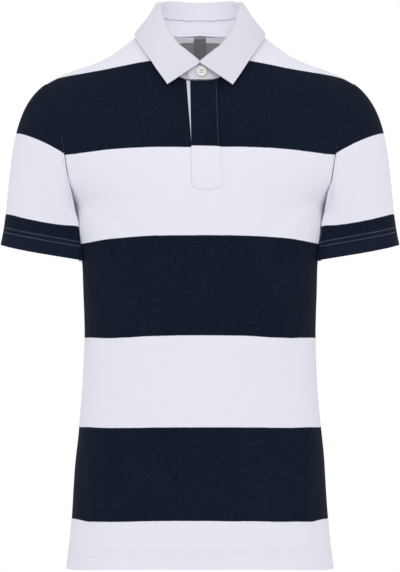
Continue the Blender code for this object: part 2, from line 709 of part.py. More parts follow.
def build_sleeve(name, mirror, front, back, finish):
    """One sleeve, from the armhole's own points down to the doubled hem."""
    up, down = armhole(front, back)
    edge = up[:-1] + down[:-1]
    turns = [math.pi * k / (len(up) - 1) for k in range(len(up) - 1)]
    turns += [math.pi + math.pi * k / (len(down) - 1) for k in range(len(down) - 1)]
    shares = [0.0, 0.05] + [0.12 + 0.74 * k / SLEEVE_RINGS for k in range(SLEEVE_RINGS + 1)] + [1.0]
    meridians = [sleeve_meridian(start, angle, shares) for start, angle in zip(edge, turns)]
    count = len(edge)
    points = [meridians[k][r] for r in range(len(shares)) for k in range(count)]
    if mirror:
        points = [Vector((-point.x, point.y, point.z)) for point in points]
    faces = []
    for r in range(len(shares) - 1):
        for k in range(count):
            a, b = r * count + k, r * count + (k + 1) % count
            halves = split(a, b, b + count, a + count)
            faces += halves if mirror else [tuple(reversed(half)) for half in halves]
    normals = joint_normals([([points], faces)])[0]
    thickness = [HEM_CLOTH if r >= len(shares) - 2 else CLOTH for r in range(len(shares)) for _ in range(count)]
    cloth_wall(name, points, normals, faces, thickness, finish)


# ---- collar ------------------------------------------------------------------------------------------------


def half_neck():
    """Close points along the left half of the neck's edge, from the centre front to the centre back."""
    steps = 60
    front_x = [NECK_HALF_WIDTH * math.sin(0.5 * math.pi * k / steps) for k in range(steps + 1)]
    plan = [(x, neck_y(x, False)) for x in front_x] + [(x, neck_y(x, True)) for x in reversed(front_x[:-1])]
    return [Vector((x, y, height(x, y))) for x, y in plan]


NECK_STEPS = 240
NECK_LINE = evenly(half_neck(), NECK_STEPS)


def neck_frame(along):
    """The neck seam's point and its level outward direction; along is 0 at the centre front, 1 or -1 behind."""
    side = -1.0 if along < 0 else 1.0
    place = min(1.0, abs(along)) * NECK_STEPS
    i = min(NECK_STEPS - 1, int(place))
    point = NECK_LINE[i].lerp(NECK_LINE[i + 1], place - i)
    before, after = NECK_LINE[max(0, i - 3)], NECK_LINE[min(NECK_STEPS, i + 4)]
    tangent = Vector((after.x - before.x, after.y - before.y, 0.0)).normalized()
    outward = Vector((tangent.y, -tangent.x, 0.0))
    if abs(along) < 0.02:
        outward = Vector((0.0, -1.0, 0.0))
    return Vector((side * point.x, point.y, point.z)), Vector((side * outward.x, outward.y, 0.0))


stand_height = curve(COLLAR_SECTIONS, "along", "stand_height")
roll_height = curve(COLLAR_SECTIONS, "along", "roll_height")
lean_in = curve(COLLAR_SECTIONS, "along", "lean_in")
leaf_edge_x = curve(LEAF_EDGE, "along", "x")
leaf_edge_y = curve(LEAF_EDGE, "along", "y")
leaf_edge_z = curve(LEAF_EDGE, "along", "z")


def over_layer(along):
    """How far the stand is brought forward where its left end laps over the right one."""
    return STAND_OVERLAP * ease((OVERLAP_RUN - along) / OVERLAP_RUN)


def collar_point(along, rise, layer):
    """Outer face of the stand, or of the fold above it, at this height over the neck seam."""
    base, outward = neck_frame(along)
    lean = lean_in(abs(along)) * rise / roll_height(abs(along))
    return base + Vector((0.0, 0.0, rise)) - outward * lean + outward * layer


def along_at_x(x):
    """Where along the neck the front edge reaches x."""
    i = next(k for k in range(NECK_STEPS) if NECK_LINE[k + 1].x >= abs(x))
    span = NECK_LINE[i + 1].x - NECK_LINE[i].x
    return math.copysign((i + (abs(x) - NECK_LINE[i].x) / span) / NECK_STEPS, x)


COLLAR_STATIONS = [along_at_x(LEAF_START_GAP)] + [
    k / COLLAR_SIDE_SECTIONS for k in range(1, COLLAR_SIDE_SECTIONS + 1)
]


def build_stand(finish):
    """One band round the neck: its right end lies under, its left end comes over it and carries the button."""
    under = along_at_x(STAND_UNDER_END)
    over = along_at_x(STAND_OVER_END)
    sections = [(under, 0.0), (0.5 * under, 0.0)]
    sections += [(-share, 0.0) for share in COLLAR_STATIONS]
    sections += [(share, over_layer(share)) for share in reversed(COLLAR_STATIONS[:-1])]
    sections += [(over * k / 3, STAND_OVERLAP) for k in range(1, 4)]
    levels = (0.0, 0.5, 1.0)
    rows = []
    for share in levels:
        row = []
        for along, layer in sections:
            rise = STAND_LIFT + (stand_height(abs(along)) - STAND_LIFT) * share
            if along == sections[-1][0] and share == 1.0:
                rise -= 0.005  # the buttoned end is rounded
            row.append(collar_point(along, rise, layer))
        rows.append(row)
    rows = [list(reversed(row)) for row in rows]
    faces = net_faces(rows)
    normals = joint_normals([(rows, faces)])[0]
    points = [point for row in rows for point in row]
    cloth_wall("collar_stand", points, normals, faces, COLLAR_CLOTH, finish)


def leaf_section(along, layer):
    """The leaf's outer face at one place: up from the stand, over the fold, and down to its edge."""
    base, outward = neck_frame(along)
    side = -1.0 if along < 0 else 1.0
    foot = stand_height(abs(along)) + LAID_ON_GAP
    top = max(roll_height(abs(along)) - FOLD_RADIUS, foot + 0.0008)
    inner = layer - COLLAR_CLOTH
    points = [collar_point(along, foot + (top - foot) * k / 2, inner) for k in range(3)]
    fold_start = points[-1]
    centre = fold_start + outward * FOLD_RADIUS
    away = abs(along)
    end = Vector((side * leaf_edge_x(away), leaf_edge_y(away) - layer, leaf_edge_z(away)))
    end = lift_off_body(end, LEAF_OVER_BODY)
    spread = math.atan2(outward.dot(end - centre), centre.z - end.z)
    last = math.pi - max(0.0, 0.8 * spread)
    for k in range(1, 5):
        swing = -outward * math.cos(last * k / 4) + Vector((0.0, 0.0, math.sin(last * k / 4)))
        points.append(centre + swing * FOLD_RADIUS)
    start = points[-1]
    span = (end - start).length
    near = start + (outward * math.sin(last) + Vector((0.0, 0.0, math.cos(last)))) * 0.3 * span
    near = near.lerp(start.lerp(end, 0.3) + outward * 0.03 * span, ease(1 - away / FRONT_EDGE_RUN))
    far = end.lerp(start, 0.35) + outward * 0.03 * span
    for k in range(1, 6):
        points.append(lift_off_body(bezier(start, near, far, end, k / 5), LEAF_OVER_BODY))
    return points


def build_leaf(finish):
    """The turned-down leaf of the collar, in one piece round the neck."""
    sections = [leaf_section(share, over_layer(share)) for share in COLLAR_STATIONS]
    sections += [leaf_section(-share, 0.0) for share in reversed(COLLAR_STATIONS[:-1])]
    first, last = sections[0], sections[-1]
    for k, point in enumerate(first):
        first[k] = Vector((max(point.x, LEAF_START_GAP), point.y, point.z))
    for k, point in enumerate(last):
        last[k] = Vector((min(point.x, -LEAF_START_GAP), point.y, point.z))
    rows = [[section[r] for section in sections] for r in range(len(first))]
    faces = net_faces(rows)
    normals = joint_normals([(rows, faces)])[0]
    points = [point for row in rows for point in row]
    cloth_wall("collar_leaf", points, normals, faces, COLLAR_CLOTH, finish)


# ---- trims -------------------------------------------------------------------------------------------------


def build_button(finish):
    """A four-hole button with a raised rim, sewn to the buttoned end of the stand."""
    along = along_at_x(BUTTON_X)
    seat = collar_point(along, BUTTON_HEIGHT, STAND_OVERLAP)
    above = collar_point(along, BUTTON_HEIGHT + 0.005, STAND_OVERLAP)
    axis = Vector((1.0, 0.0, 0.0)).cross(above - seat).normalized()
    profile = [
        (0.0, 0.0),
        (0.82 * BUTTON_RADIUS, 0.0),
        (BUTTON_RADIUS, 0.35 * BUTTON_THICKNESS),
        (BUTTON_RADIUS, 0.70 * BUTTON_THICKNESS),
        (0.90 * BUTTON_RADIUS, BUTTON_THICKNESS),
        (0.72 * BUTTON_RADIUS, BUTTON_THICKNESS),
        (0.55 * BUTTON_RADIUS, BUTTON_THICKNESS - BUTTON_DISH),
        (0.0, BUTTON_THICKNESS - BUTTON_DISH),
    ]
    sides = 20
    points, faces = [], []
    for radius, rise in profile:
        ring = 1 if radius == 0 else sides
        for k in range(ring):
            angle = 2 * math.pi * k / sides
            points.append(Vector((radius * math.cos(angle), radius * math.sin(angle), rise)))
    for k in range(sides):
        after = (k + 1) % sides
        faces.append((0, 1 + after, 1 + k))
        for ring in range(len(profile) - 3):
            low = 1 + ring * sides
            faces.append((low + k, low + after, low + sides + after, low + sides + k))
        top = 1 + (len(profile) - 3) * sides
        faces.append((top + k, top + after, len(points) - 1))
    button = add_object("collar_button", points, faces, finish)
    turned = Vector((0.0, 0.0, 1.0)).rotation_difference(axis).to_matrix().to_4x4()
    button.matrix_world = Matrix.Translation(seat + axis * (LAID_ON_GAP)) @ turned
    for k in range(4):
        angle = math.pi * (0.25 + 0.5 * k)
        reach = BUTTON_HOLE_PITCH / math.sqrt(2)
        bpy.ops.mesh.primitive_cylinder_add(vertices=8, radius=BUTTON_HOLE_RADIUS, depth=4 * BUTTON_THICKNESS)
        drill = bpy.context.object
        drill.name = f"button_hole_{k}"
        drill.hide_render = True
        drill.display_type = "WIRE"
        drill.matrix_world = button.matrix_world @ Matrix.Translation(
            (reach * math.cos(angle), reach * math.sin(angle), 0.5 * BUTTON_THICKNESS)
        )
        cut = button.modifiers.new(drill.name, "BOOLEAN")
        cut.operation = "DIFFERENCE"
        cut.object = drill


def inside_back(back, normals, column, drop, inset):
    """A point inside the back panel, so far down one column of its net from the neck, and so far in from it."""
    width, row = len(back[0]), len(back) - 1
    while (back[row - 1][column] - back[row][column]).length < drop:
        drop -= (back[row - 1][column] - back[row][column]).length
        row -= 1
    share = drop / (back[row - 1][column] - back[row][column]).length
    normal = normals[row * width + column].lerp(normals[(row - 1) * width + column], share)
    return back[row][column].lerp(back[row - 1][column], share) - normal * inset, normal


def build_tape(finish):
    """The tape that covers the back neck seam, on the inside of the stand's foot."""
    sections = range(COLLAR_SIDE_SECTIONS - TAPE_REACH, COLLAR_SIDE_SECTIONS + 1)
    alongs = [k / COLLAR_SIDE_SECTIONS for k in sections]
    alongs = [-along for along in alongs] + alongs[-2::-1]
    feet = [TAPE_FOOT - TAPE_DIP * ((1 - abs(along)) * COLLAR_SIDE_SECTIONS / TAPE_REACH) ** 2 for along in alongs]
    layer = -COLLAR_CLOTH - LAID_ON_GAP
    rows = [
        [collar_point(along, foot + TAPE_WIDTH * k / 2, layer) for along, foot in zip(alongs, feet)] for k in range(3)
    ]
    faces = net_faces(rows)
    normals = joint_normals([(rows, faces)])[0]
    points = [point for row in rows for point in row]
    cloth_wall("neck_tape", points, normals, faces, TAPE_CLOTH, finish, lift=TAPE_CLOTH)


def build_label(back, normals, finish):
    """The label, which hangs inside the back panel from the tape's lower edge."""
    centre = len(back[0]) // 2
    drops = [LABEL_LENGTH * (1 - k / 6) for k in range(6)] + [LAID_ON_GAP]
    inset = CLOTH + 1.6 * LAID_ON_GAP
    found = [[inside_back(back, normals, c, drop, inset) for c in range(centre - 1, centre + 2)] for drop in drops]
    rows = [[point for point, _ in row] for row in found]
    under_tape = collar_point(1.0, TAPE_FOOT - SEAM_GAP, -COLLAR_CLOTH - LAID_ON_GAP)
    middle = rows[-1][1]
    rise = Vector((0.0, under_tape.y - middle.y, under_tape.z - middle.z))
    rows.append([point + rise for point in rows[-1]])
    points = [point for row in rows for point in row]
    inward = [-normal for row in found + found[-1:] for _, normal in row]
    faces = [tuple(reversed(face)) for face in net_faces(rows)]
    cloth_wall("neck_label", points, inward, faces, TAPE_CLOTH, finish, lift=TAPE_CLOTH)


def main():
    for old in list(bpy.data.objects):
        bpy.data.objects.remove(old)
    jersey = material("striped_jersey", NAVY, 0.85)
    twill = material("white_twill", WHITE, 0.8)
    shell = material("button_shell", SHELL, 0.25)
    grey = material("label_satin", GREY, 0.6)

    front, back, front_normals, back_normals, slit_columns = build_body(jersey)
    build_plackets(front, front_normals, slit_columns, twill, jersey)
    build_sleeve("sleeve_left", False, front, back, jersey)
    build_sleeve("sleeve_right", True, front, back, jersey)
    build_stand(twill)
    build_leaf(twill)
    build_button(shell)
    build_tape(twill)
    build_label(back, back_normals, grey)


main()
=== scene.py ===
"""Looks of the striped polo shirt: fine cloth, stitching, collar, button, camera and studio.

The file is laid out as a Blender add-on and run as a script. Metres, +Z up; the shirt faces -Y, and +X is the
wearer's left. Each sewn piece is worked out from the same named sizes as its solid, with closer points, soft
creases and rounded edges, and stands for that solid.
"""

import functools
import json
import math
from collections import namedtuple

import bpy
import numpy as np
from bpy.props import FloatProperty, FloatVectorProperty, PointerProperty
from mathutils import Matrix, Vector, noise

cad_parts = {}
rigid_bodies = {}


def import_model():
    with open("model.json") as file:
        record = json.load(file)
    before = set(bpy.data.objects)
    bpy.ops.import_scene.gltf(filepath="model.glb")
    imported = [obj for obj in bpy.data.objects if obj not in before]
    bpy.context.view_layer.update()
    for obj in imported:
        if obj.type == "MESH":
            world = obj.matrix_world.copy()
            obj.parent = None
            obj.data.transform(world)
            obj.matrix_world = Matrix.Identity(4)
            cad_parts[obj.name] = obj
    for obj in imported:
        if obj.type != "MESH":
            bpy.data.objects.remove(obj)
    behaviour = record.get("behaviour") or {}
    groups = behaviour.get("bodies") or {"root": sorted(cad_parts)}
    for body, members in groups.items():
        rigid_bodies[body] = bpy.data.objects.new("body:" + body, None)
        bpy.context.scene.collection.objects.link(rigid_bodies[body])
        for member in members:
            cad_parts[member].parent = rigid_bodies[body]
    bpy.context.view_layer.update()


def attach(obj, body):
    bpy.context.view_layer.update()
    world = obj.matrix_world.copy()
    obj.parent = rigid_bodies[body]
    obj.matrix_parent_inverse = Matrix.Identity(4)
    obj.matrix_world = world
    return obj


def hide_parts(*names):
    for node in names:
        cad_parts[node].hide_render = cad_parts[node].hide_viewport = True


bl_info = {
    "name": "Striped polo shirt",
    "version": (1, 0, 0),
    "blender": (4, 5, 0),
    "location": "3D View > Sidebar > Polo shirt",
    "description": "Builds a striped polo shirt piece by piece over its packed solids",
    "category": "Object",
}

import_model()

# ---- the form, in metres, as in the solids ---------------

CLOTH = 0.0012
HEM_CLOTH = 0.0022
COLLAR_CLOTH = 0.0016
TAPE_CLOTH = 0.001
THIN_SHARE = 0.8  # tape and label are drawn thinner than their solids
SEAM_GAP = 0.0003
SEAM_SHOWN = 0.00004  # the sewn cloth is drawn closer than its solids
LAID_ON_GAP = 0.0005

HEM_Z = -0.704
HEM_DEPTH = 0.026
SIDE_DIP = 0.0065
ARMPIT_Z = -0.240
PLACKET_FOOT_Z = -0.221
PLACKET_BOX_Z = -0.205
RING_SQUARENESS = 2.4
ARMPIT_X = 0.168
ARMHOLE_HOLLOW = 0.82
TIP_X = 0.2033
TIP_Z = -0.072
NECK_HALF_WIDTH = 0.062
NECK_SEAM_Y = -0.022
TIP_SEAM_Y = -0.010
NECK_FRONT = 0.059
NECK_BACK = 0.0785
NECK_FRONT_SQUARENESS = 2.5
NECK_BACK_SQUARENESS = 2.5

SIDE_SHARE = 0.99999  # past this share of its half width a ring has no depth left
PAST_SHOULDERS = -1.0  # the height given where the plan's point lies in front of the chest or behind the back
RIDGE_ROUNDS = 14

Ring = namedtuple("Ring", "height half_width front back")
RINGS = (
    Ring(-0.710, 0.1765, 0.1245, 0.1225),
    Ring(-0.640, 0.1685, 0.1220, 0.1180),
    Ring(-0.570, 0.1640, 0.1190, 0.1130),
    Ring(-0.520, 0.1592, 0.1175, 0.1105),
    Ring(-0.460, 0.1543, 0.1165, 0.1090),
    Ring(-0.400, 0.1523, 0.1175, 0.1110),
    Ring(-0.340, 0.1540, 0.1205, 0.1160),
    Ring(-0.312, 0.1555, 0.1222, 0.1190),
    Ring(-0.290, 0.1600, 0.1235, 0.1210),
    Ring(-0.265, 0.1652, 0.1246, 0.1234),
    Ring(ARMPIT_Z, ARMPIT_X, 0.1255, 0.1255),
    Ring(-0.200, 0.1960, 0.1260, 0.1285),
    Ring(-0.150, 0.2080, 0.1240, 0.1290),
    Ring(-0.100, 0.2120, 0.1180, 0.1270),
    Ring(-0.050, 0.2140, 0.1150, 0.1250),
    Ring(0.030, 0.2140, 0.1150, 0.1250),
)
Ridge = namedtuple("Ridge", "x height")
RIDGES = (
    Ridge(0.000, 0.0120),
    Ridge(0.062, 0.0055),
    Ridge(0.086, -0.0112),
    Ridge(0.103, -0.0247),
    Ridge(0.118, -0.0353),
    Ridge(0.140, -0.0459),
    Ridge(0.171, -0.0570),
    Ridge(TIP_X, TIP_Z),
    Ridge(0.215, -0.0800),
)
Turn = namedtuple("Turn", "x front_drop front_round back_drop back_round")
TURNS = (
    Turn(0.00, 0.200, 1.50, 0.130, 2.0),
    Turn(0.02, 0.199, 1.505, 0.130, 2.0),
    Turn(0.06, 0.178, 1.62, 0.130, 2.0),
    Turn(0.10, 0.160, 1.72, 0.125, 2.0),
    Turn(0.15, 0.125, 1.86, 0.110, 2.0),
    Turn(0.20, 0.090, 2.00, 0.090, 2.0),
    Turn(0.22, 0.080, 2.00, 0.080, 2.0),
)
Fold = namedtuple("Fold", "x_top z_top x_foot z_foot width depth")
FRONT_FOLDS = (
    Fold(0.136, -0.222, 0.072, -0.300, 0.016, 0.0028),
    Fold(-0.136, -0.222, -0.072, -0.300, 0.016, 0.0028),
    Fold(0.122, -0.330, 0.128, -0.600, 0.022, 0.0020),
    Fold(-0.122, -0.350, -0.130, -0.580, 0.024, 0.0022),
    Fold(0.062, -0.600, 0.064, -0.720, 0.016, 0.0024),
    Fold(-0.064, -0.610, -0.062, -0.720, 0.017, 0.0022),
    Fold(0.000, -0.560, 0.000, -0.700, 0.040, -0.0020),
)
BACK_FOLDS = (
    Fold(0.128, -0.225, 0.058, -0.330, 0.020, 0.0045),
    Fold(-0.128, -0.225, -0.054, -0.345, 0.020, 0.0040),
    Fold(0.100, -0.330, 0.108, -0.600, 0.026, 0.0040),
    Fold(-0.106, -0.340, -0.100, -0.610, 0.025, 0.0045),
    Fold(0.030, -0.380, 0.040, -0.690, 0.022, 0.0032),
    Fold(-0.038, -0.400, -0.046, -0.700, 0.024, 0.0035),
)
FOLD_PAST_ENDS = 0.1  # how far past its ends a fold runs out, and how quickly, as shares of its length
FOLD_FADE = 2.5
FOLD_LIMIT = 0.06  # the largest share of the depth that folds take

CUFF_CENTRE = Vector((0.2062, 0.004, -0.2945))
CUFF_HALF_WIDTH = 0.0583
CUFF_INNER_WIDTH = 0.0690
CUFF_HALF_DEPTH = 0.0560
CUFF_SQUARENESS = 4.4
CUFF_RISE_OUT = math.radians(9.4)
CUFF_RISE_BACK = math.radians(5.0)
CUFF_FLARE = 0.24
CAP_OUT = Vector((0.82, 0.0, -0.57))
UNDERARM_OUT = Vector((-0.10, 0.0, -0.99))
CAP_PULL = 0.325
CUFF_PULL = 0.34
CAP_PUFF = 0.22
SLEEVE_CLEARANCE = 0.0012  # the cloth is drawn nearer to the side than its solid
SLEEVE_FREE_Z = -0.150
SLEEVE_FREE_RUN = 0.035
SLEEVE_TUCK = 0.0085  # how far a sleeve comes in over the body's side, starting at this height over this run
SLEEVE_TUCK_Z = -0.190
SLEEVE_TUCK_RUN = 0.075
ARMHOLE_RUN = 0.012  # length over which a sleeve leaves the armhole's seam
ARMPIT_RUN = 0.030
CAP_SPREAD = 1.7

CollarSection = namedtuple("CollarSection", "along stand_height roll_height lean_in")
COLLAR_SECTIONS = (
    CollarSection(0.00, 0.0195, 0.0228, 0.0020),
    CollarSection(0.05, 0.0225, 0.0330, 0.0035),
    CollarSection(0.10, 0.0230, 0.0390, 0.0055),
    CollarSection(0.18, 0.0230, 0.0400, 0.0080),
    CollarSection(0.25, 0.0225, 0.0380, 0.0090),
    CollarSection(0.45, 0.0205, 0.0340, 0.0100),
    CollarSection(0.58, 0.0175, 0.0285, 0.0085),
    CollarSection(0.72, 0.0155, 0.0335, 0.0060),
    CollarSection(0.80, 0.0180, 0.0408, 0.0050),
    CollarSection(0.90, 0.0215, 0.0450, 0.0035),
    CollarSection(1.00, 0.0215, 0.0443, 0.0030),
    CollarSection(1.10, 0.0215, 0.0450, 0.0035),
)
LeafEdge = namedtuple("LeafEdge", "along x y z")
LEAF_EDGE = (
    LeafEdge(0.00, 0.0418, -0.0900, -0.0843),
    LeafEdge(0.15, 0.0585, -0.0770, -0.0600),
    LeafEdge(0.30, 0.0722, -0.0540, -0.0362),
    LeafEdge(0.41, 0.0800, -0.0280, -0.0205),
    LeafEdge(0.52, 0.0826, 0.0040, -0.0090),
    LeafEdge(0.66, 0.0770, 0.0380, -0.0045),
    LeafEdge(0.82, 0.0490, 0.0680, -0.0040),
    LeafEdge(1.00, 0.0000, 0.0800, -0.0050),
    LeafEdge(1.18, -0.0490, 0.0680, -0.0040),
)
FOLD_RADIUS = 0.0027
STAND_LIFT = 0.0007
STAND_OVERLAP = 0.0021
OVERLAP_RUN = 0.16
STAND_OVER_END = -0.0156
STAND_UNDER_END = 0.0120
LEAF_OVER_BODY = 0.0032
LEAF_START_GAP = 0.0007
FRONT_EDGE_RUN = 0.12

PlacketEdge = namedtuple("PlacketEdge", "top foot")  # x at the neck, and at the foot of the columns' fan
PLACKET_FREE_EDGE = PlacketEdge(-0.0127, -0.0103)  # comes to lie over the slit's edge low down
SLIT_LEFT = PlacketEdge(-0.0180, -0.0079)
UNDER_MIDDLE = PlacketEdge(-0.0110, -0.0045)
PLACKET_INNER = PlacketEdge(-0.0040, -0.0010)
SLIT_RIGHT = PlacketEdge(0.0045, 0.0060)
PLACKET_MIDDLE = PlacketEdge(0.0140, 0.0170)
PLACKET_SEWN_EDGE = PlacketEdge(0.0232, 0.0276)
PLACKET_CORNER = 0.005
PLACKET_TOP_DROP = 0.0017
UNDER_TOP_DROP = 0.0010

BUTTON_X = 0.0018
BUTTON_HEIGHT = 0.0108
TAPE_WIDTH = 0.0044
TAPE_FOOT = 0.0008
TAPE_REACH = 3 / 14
TAPE_DIP = 0.0055
LABEL_HALF_WIDTH = 0.008
LABEL_LENGTH = 0.052

ROWS_BELOW_ARMPIT = 14
ROWS_ABOVE_BOX = 8
SHOULDER_COLUMNS = 7
COLLAR_SIDE_SECTIONS = 14
UNDER_END_SECTIONS = 10
OVER_END_SECTIONS = 14

# How many closer points stand for one step of a solid's net.
FINE_COLUMNS = 4
FINE_LOW_ROWS = 9
FINE_HIGH_ROWS = 6
FINE_COLLAR = 5
SLEEVE_ROWS = 64
SLEEVE_SEAM_SHARES = [0.008, 0.003, 0.0]  # closer rows at the armhole, as shares of the sleeve's length
STAND_ROWS = 12
LEAF_STAND_ROWS = 8  # rows of the leaf that rise from the stand, turn over the fold and hang from it
LEAF_FOLD_ROWS = 10
LEAF_FALL_ROWS = 22
TAPE_ROWS = 6
TAPE_SECTIONS = 30
LABEL_ROWS = 40
LABEL_COLUMNS = 12
LABEL_TOP_ROWS = 6

# ---- looks that the solids don't have --------------------

# Stripes are heights of the cloth, before its level lines dip towards the side seams.
Stripe = namedtuple("Stripe", "foot top")
STRIPES = (Stripe(-0.166, -0.0415), Stripe(-0.4062, -0.279), Stripe(-0.6419, -0.5234))
FRONT_TOP_SLOPE = 0.136  # how the first stripe's top falls from the middle towards the shoulder tips
BACK_TOP_Z = -0.0076
BACK_TOP_RUN = 0.184
BACK_TOP_POWER = 1.3
BACK_TOP_SWELL = 0.0030
TOP_BLEND_FOOT = -0.150  # from here up, over this run, the slopes of the first stripe's top take hold
TOP_BLEND_RUN = 0.075
SAG_PLACES = (0.0, 0.066, 0.092, 0.119, 0.145, 0.160)
Sag = namedtuple("Sag", "height amounts")
SAGS = (  # how much lower the stripes run than the cloth's own level lines, at those x and these heights
    Sag(-0.085, (0.0, 0.0, 0.0, 0.0, 0.0, 0.0)),
    Sag(-0.166, (0.0008, 0.0009, 0.0016, 0.0032, 0.0056, 0.0070)),
    Sag(-0.279, (0.0004, 0.0009, 0.0018, 0.0036, 0.0070, 0.0078)),
    Sag(-0.406, (0.0007, 0.0013, 0.0020, 0.0012, -0.0026, -0.0040)),
    Sag(-0.523, (0.0004, 0.0003, 0.0000, -0.0009, -0.0034, -0.0044)),
    Sag(-0.642, (0.0003, 0.0010, 0.0011, 0.0008, 0.0002, -0.0034)),
    Sag(-0.704, (0.0, 0.0, 0.0, 0.0, 0.0, 0.0)),
)
# The sleeve's two colour changes: x and height of the outer end, slope, how far the middle bows upwards, and
# the run inwards over which it bows.
SleeveLine = namedtuple("SleeveLine", "x z slope bow run")
SLEEVE_TOP_LINE = SleeveLine(0.2440, -0.1385, 0.475, 0.0025, 0.066)
SLEEVE_FOOT_LINE = SleeveLine(0.2508, -0.2466, 0.193, -0.0030, 0.088)
PLACKET_LEVEL_SHIFT = -0.0013

# Creases, each a bowed soft trough with a low ridge beside it: ends, sideways bow, width and depth. On the
# body they are placed by x and height, on a sleeve by metres round from the underarm and up from the cuff.
Crease = namedtuple("Crease", "x_top z_top x_foot z_foot bow width depth")
FRONT_CREASES = (
    Crease(-0.150, -0.232, -0.092, -0.262, 0.006, 0.0065, 0.0013),
    Crease(-0.146, -0.252, -0.104, -0.306, -0.005, 0.0075, 0.0010),
    Crease(0.149, -0.230, 0.100, -0.254, -0.004, 0.0070, 0.0009),
    Crease(0.147, -0.256, 0.112, -0.318, 0.006, 0.0080, 0.0011),
    Crease(-0.166, -0.160, -0.146, -0.218, 0.006, 0.0070, 0.0011),
    Crease(0.165, -0.158, 0.146, -0.214, -0.007, 0.0075, 0.0011),
    Crease(-0.076, -0.452, -0.050, -0.496, 0.004, 0.0060, 0.0006),
    Crease(0.070, -0.448, 0.046, -0.492, -0.004, 0.0065, 0.0006),
    Crease(-0.136, -0.396, -0.098, -0.424, 0.005, 0.0090, 0.0008),
    Crease(0.138, -0.406, 0.094, -0.440, -0.006, 0.0085, 0.0008),
    Crease(-0.104, -0.676, -0.060, -0.716, 0.003, 0.0070, 0.0011),
    Crease(0.106, -0.674, 0.062, -0.714, -0.003, 0.0075, 0.0010),
    Crease(-0.150, -0.560, -0.140, -0.700, 0.004, 0.0080, 0.0009),
    Crease(0.152, -0.566, 0.144, -0.700, -0.004, 0.0080, 0.0008),
    Crease(-0.014, -0.226, -0.026, -0.300, 0.003, 0.0090, 0.0006),
    Crease(0.030, -0.228, 0.040, -0.290, -0.003, 0.0080, 0.0005),
)
BACK_CREASES = (
    Crease(0.148, -0.230, 0.078, -0.268, 0.008, 0.0080, 0.0018),
    Crease(0.144, -0.262, 0.096, -0.330, -0.007, 0.0090, 0.0014),
    Crease(-0.149, -0.234, -0.084, -0.262, -0.006, 0.0080, 0.0016),
    Crease(-0.142, -0.268, -0.102, -0.350, 0.008, 0.0100, 0.0013),
    Crease(0.062, -0.060, 0.070, -0.196, 0.010, 0.0130, 0.0012),
    Crease(-0.058, -0.064, -0.074, -0.180, -0.009, 0.0120, 0.0012),
    Crease(0.128, -0.396, 0.042, -0.420, 0.010, 0.0085, 0.0014),
    Crease(-0.130, -0.380, -0.048, -0.414, -0.012, 0.0090, 0.0015),
    Crease(0.112, -0.440, 0.030, -0.452, -0.008, 0.0080, 0.0010),
    Crease(-0.110, -0.452, -0.036, -0.446, 0.006, 0.0080, 0.0011),
    Crease(0.010, -0.300, -0.006, -0.540, 0.008, 0.0110, 0.0010),
    Crease(0.080, -0.600, 0.088, -0.716, 0.004, 0.0110, 0.0015),
    Crease(-0.088, -0.586, -0.080, -0.716, -0.004, 0.0120, 0.0015),
)
SLEEVE_CREASES = (
    Crease(0.116, 0.150, 0.068, 0.046, 0.000, 0.0110, 0.0048),
    Crease(0.086, 0.165, 0.078, 0.060, 0.008, 0.0070, 0.0008),
    Crease(0.020, 0.120, 0.020, 0.030, -0.004, 0.0060, 0.0010),
    Crease(0.118, 0.172, 0.104, 0.070, -0.008, 0.0110, 0.0007),
    Crease(-0.038, 0.140, -0.030, 0.028, -0.010, 0.0100, 0.0036),
    Crease(-0.070, 0.160, -0.058, 0.040, -0.012, 0.0090, 0.0014),
    Crease(-0.112, 0.170, -0.100, 0.060, 0.008, 0.0120, 0.0009),
)
# How quickly a crease comes and goes, and from where, by shares of its length; and the ridge beside it, by
# shares of its width and depth.
CREASE_FADE_IN = 3.0
CREASE_START = -0.12
CREASE_FADE_OUT = 2.2
CREASE_END = 1.12
RIDGE_ASIDE = 1.9
RIDGE_WIDTH = 1.4
RIDGE_HEIGHT = 0.45
Wander = namedtuple("Wander", "scale size")
WANDERS = (Wander(0.055, 0.0005), Wander(0.019, 0.00014))  # the cloth's slight unevenness
SLEEVE_WANDER = 0.7
RIGHT_SLEEVE_SHIFT = 1.06  # the right sleeve's creases start further round, and are shallower
RIGHT_SLEEVE_DEPTH = 0.9

# Flat size of each sheet as it was cut, without turnings: width, length and area.
Cut = namedtuple("Cut", "width length area")

STITCH_PITCH = 0.0030
STITCH_LENGTH = 0.0023
COLLAR_STITCH_PITCH = 0.0024
COLLAR_STITCH_LENGTH = 0.0018
COLLAR_THREAD = 0.85  # thickness of the collar's thread, and the placket's and tape's, beside the hems'
PLACKET_THREAD = 0.8
HEM_STITCH_RISES = (0.0180, 0.0240)
TAPE_STITCH_RISES = (0.0008, 0.0036)
EDGE_STITCH_INSET = 0.0055
SEAM_STITCH_INSET = 0.0020
PLACKET_STITCH_INSET = 0.0029
BOX_STITCH_INSET = 0.0024
LEAF_STITCH_ROW = 16.0  # the leaf's front edges are stitched from this row down
# One stitch from end to end: places along it, girth and rise, as shares of its length and width.
Bead = namedtuple("Bead", "along girth rise")
BEADS = (
    Bead(-0.50, 0.30, -0.30),
    Bead(-0.32, 0.92, 0.10),
    Bead(0.00, 1.00, 0.26),
    Bead(0.32, 0.92, 0.10),
    Bead(0.50, 0.30, -0.30),
)
STITCH_SIDES = 6

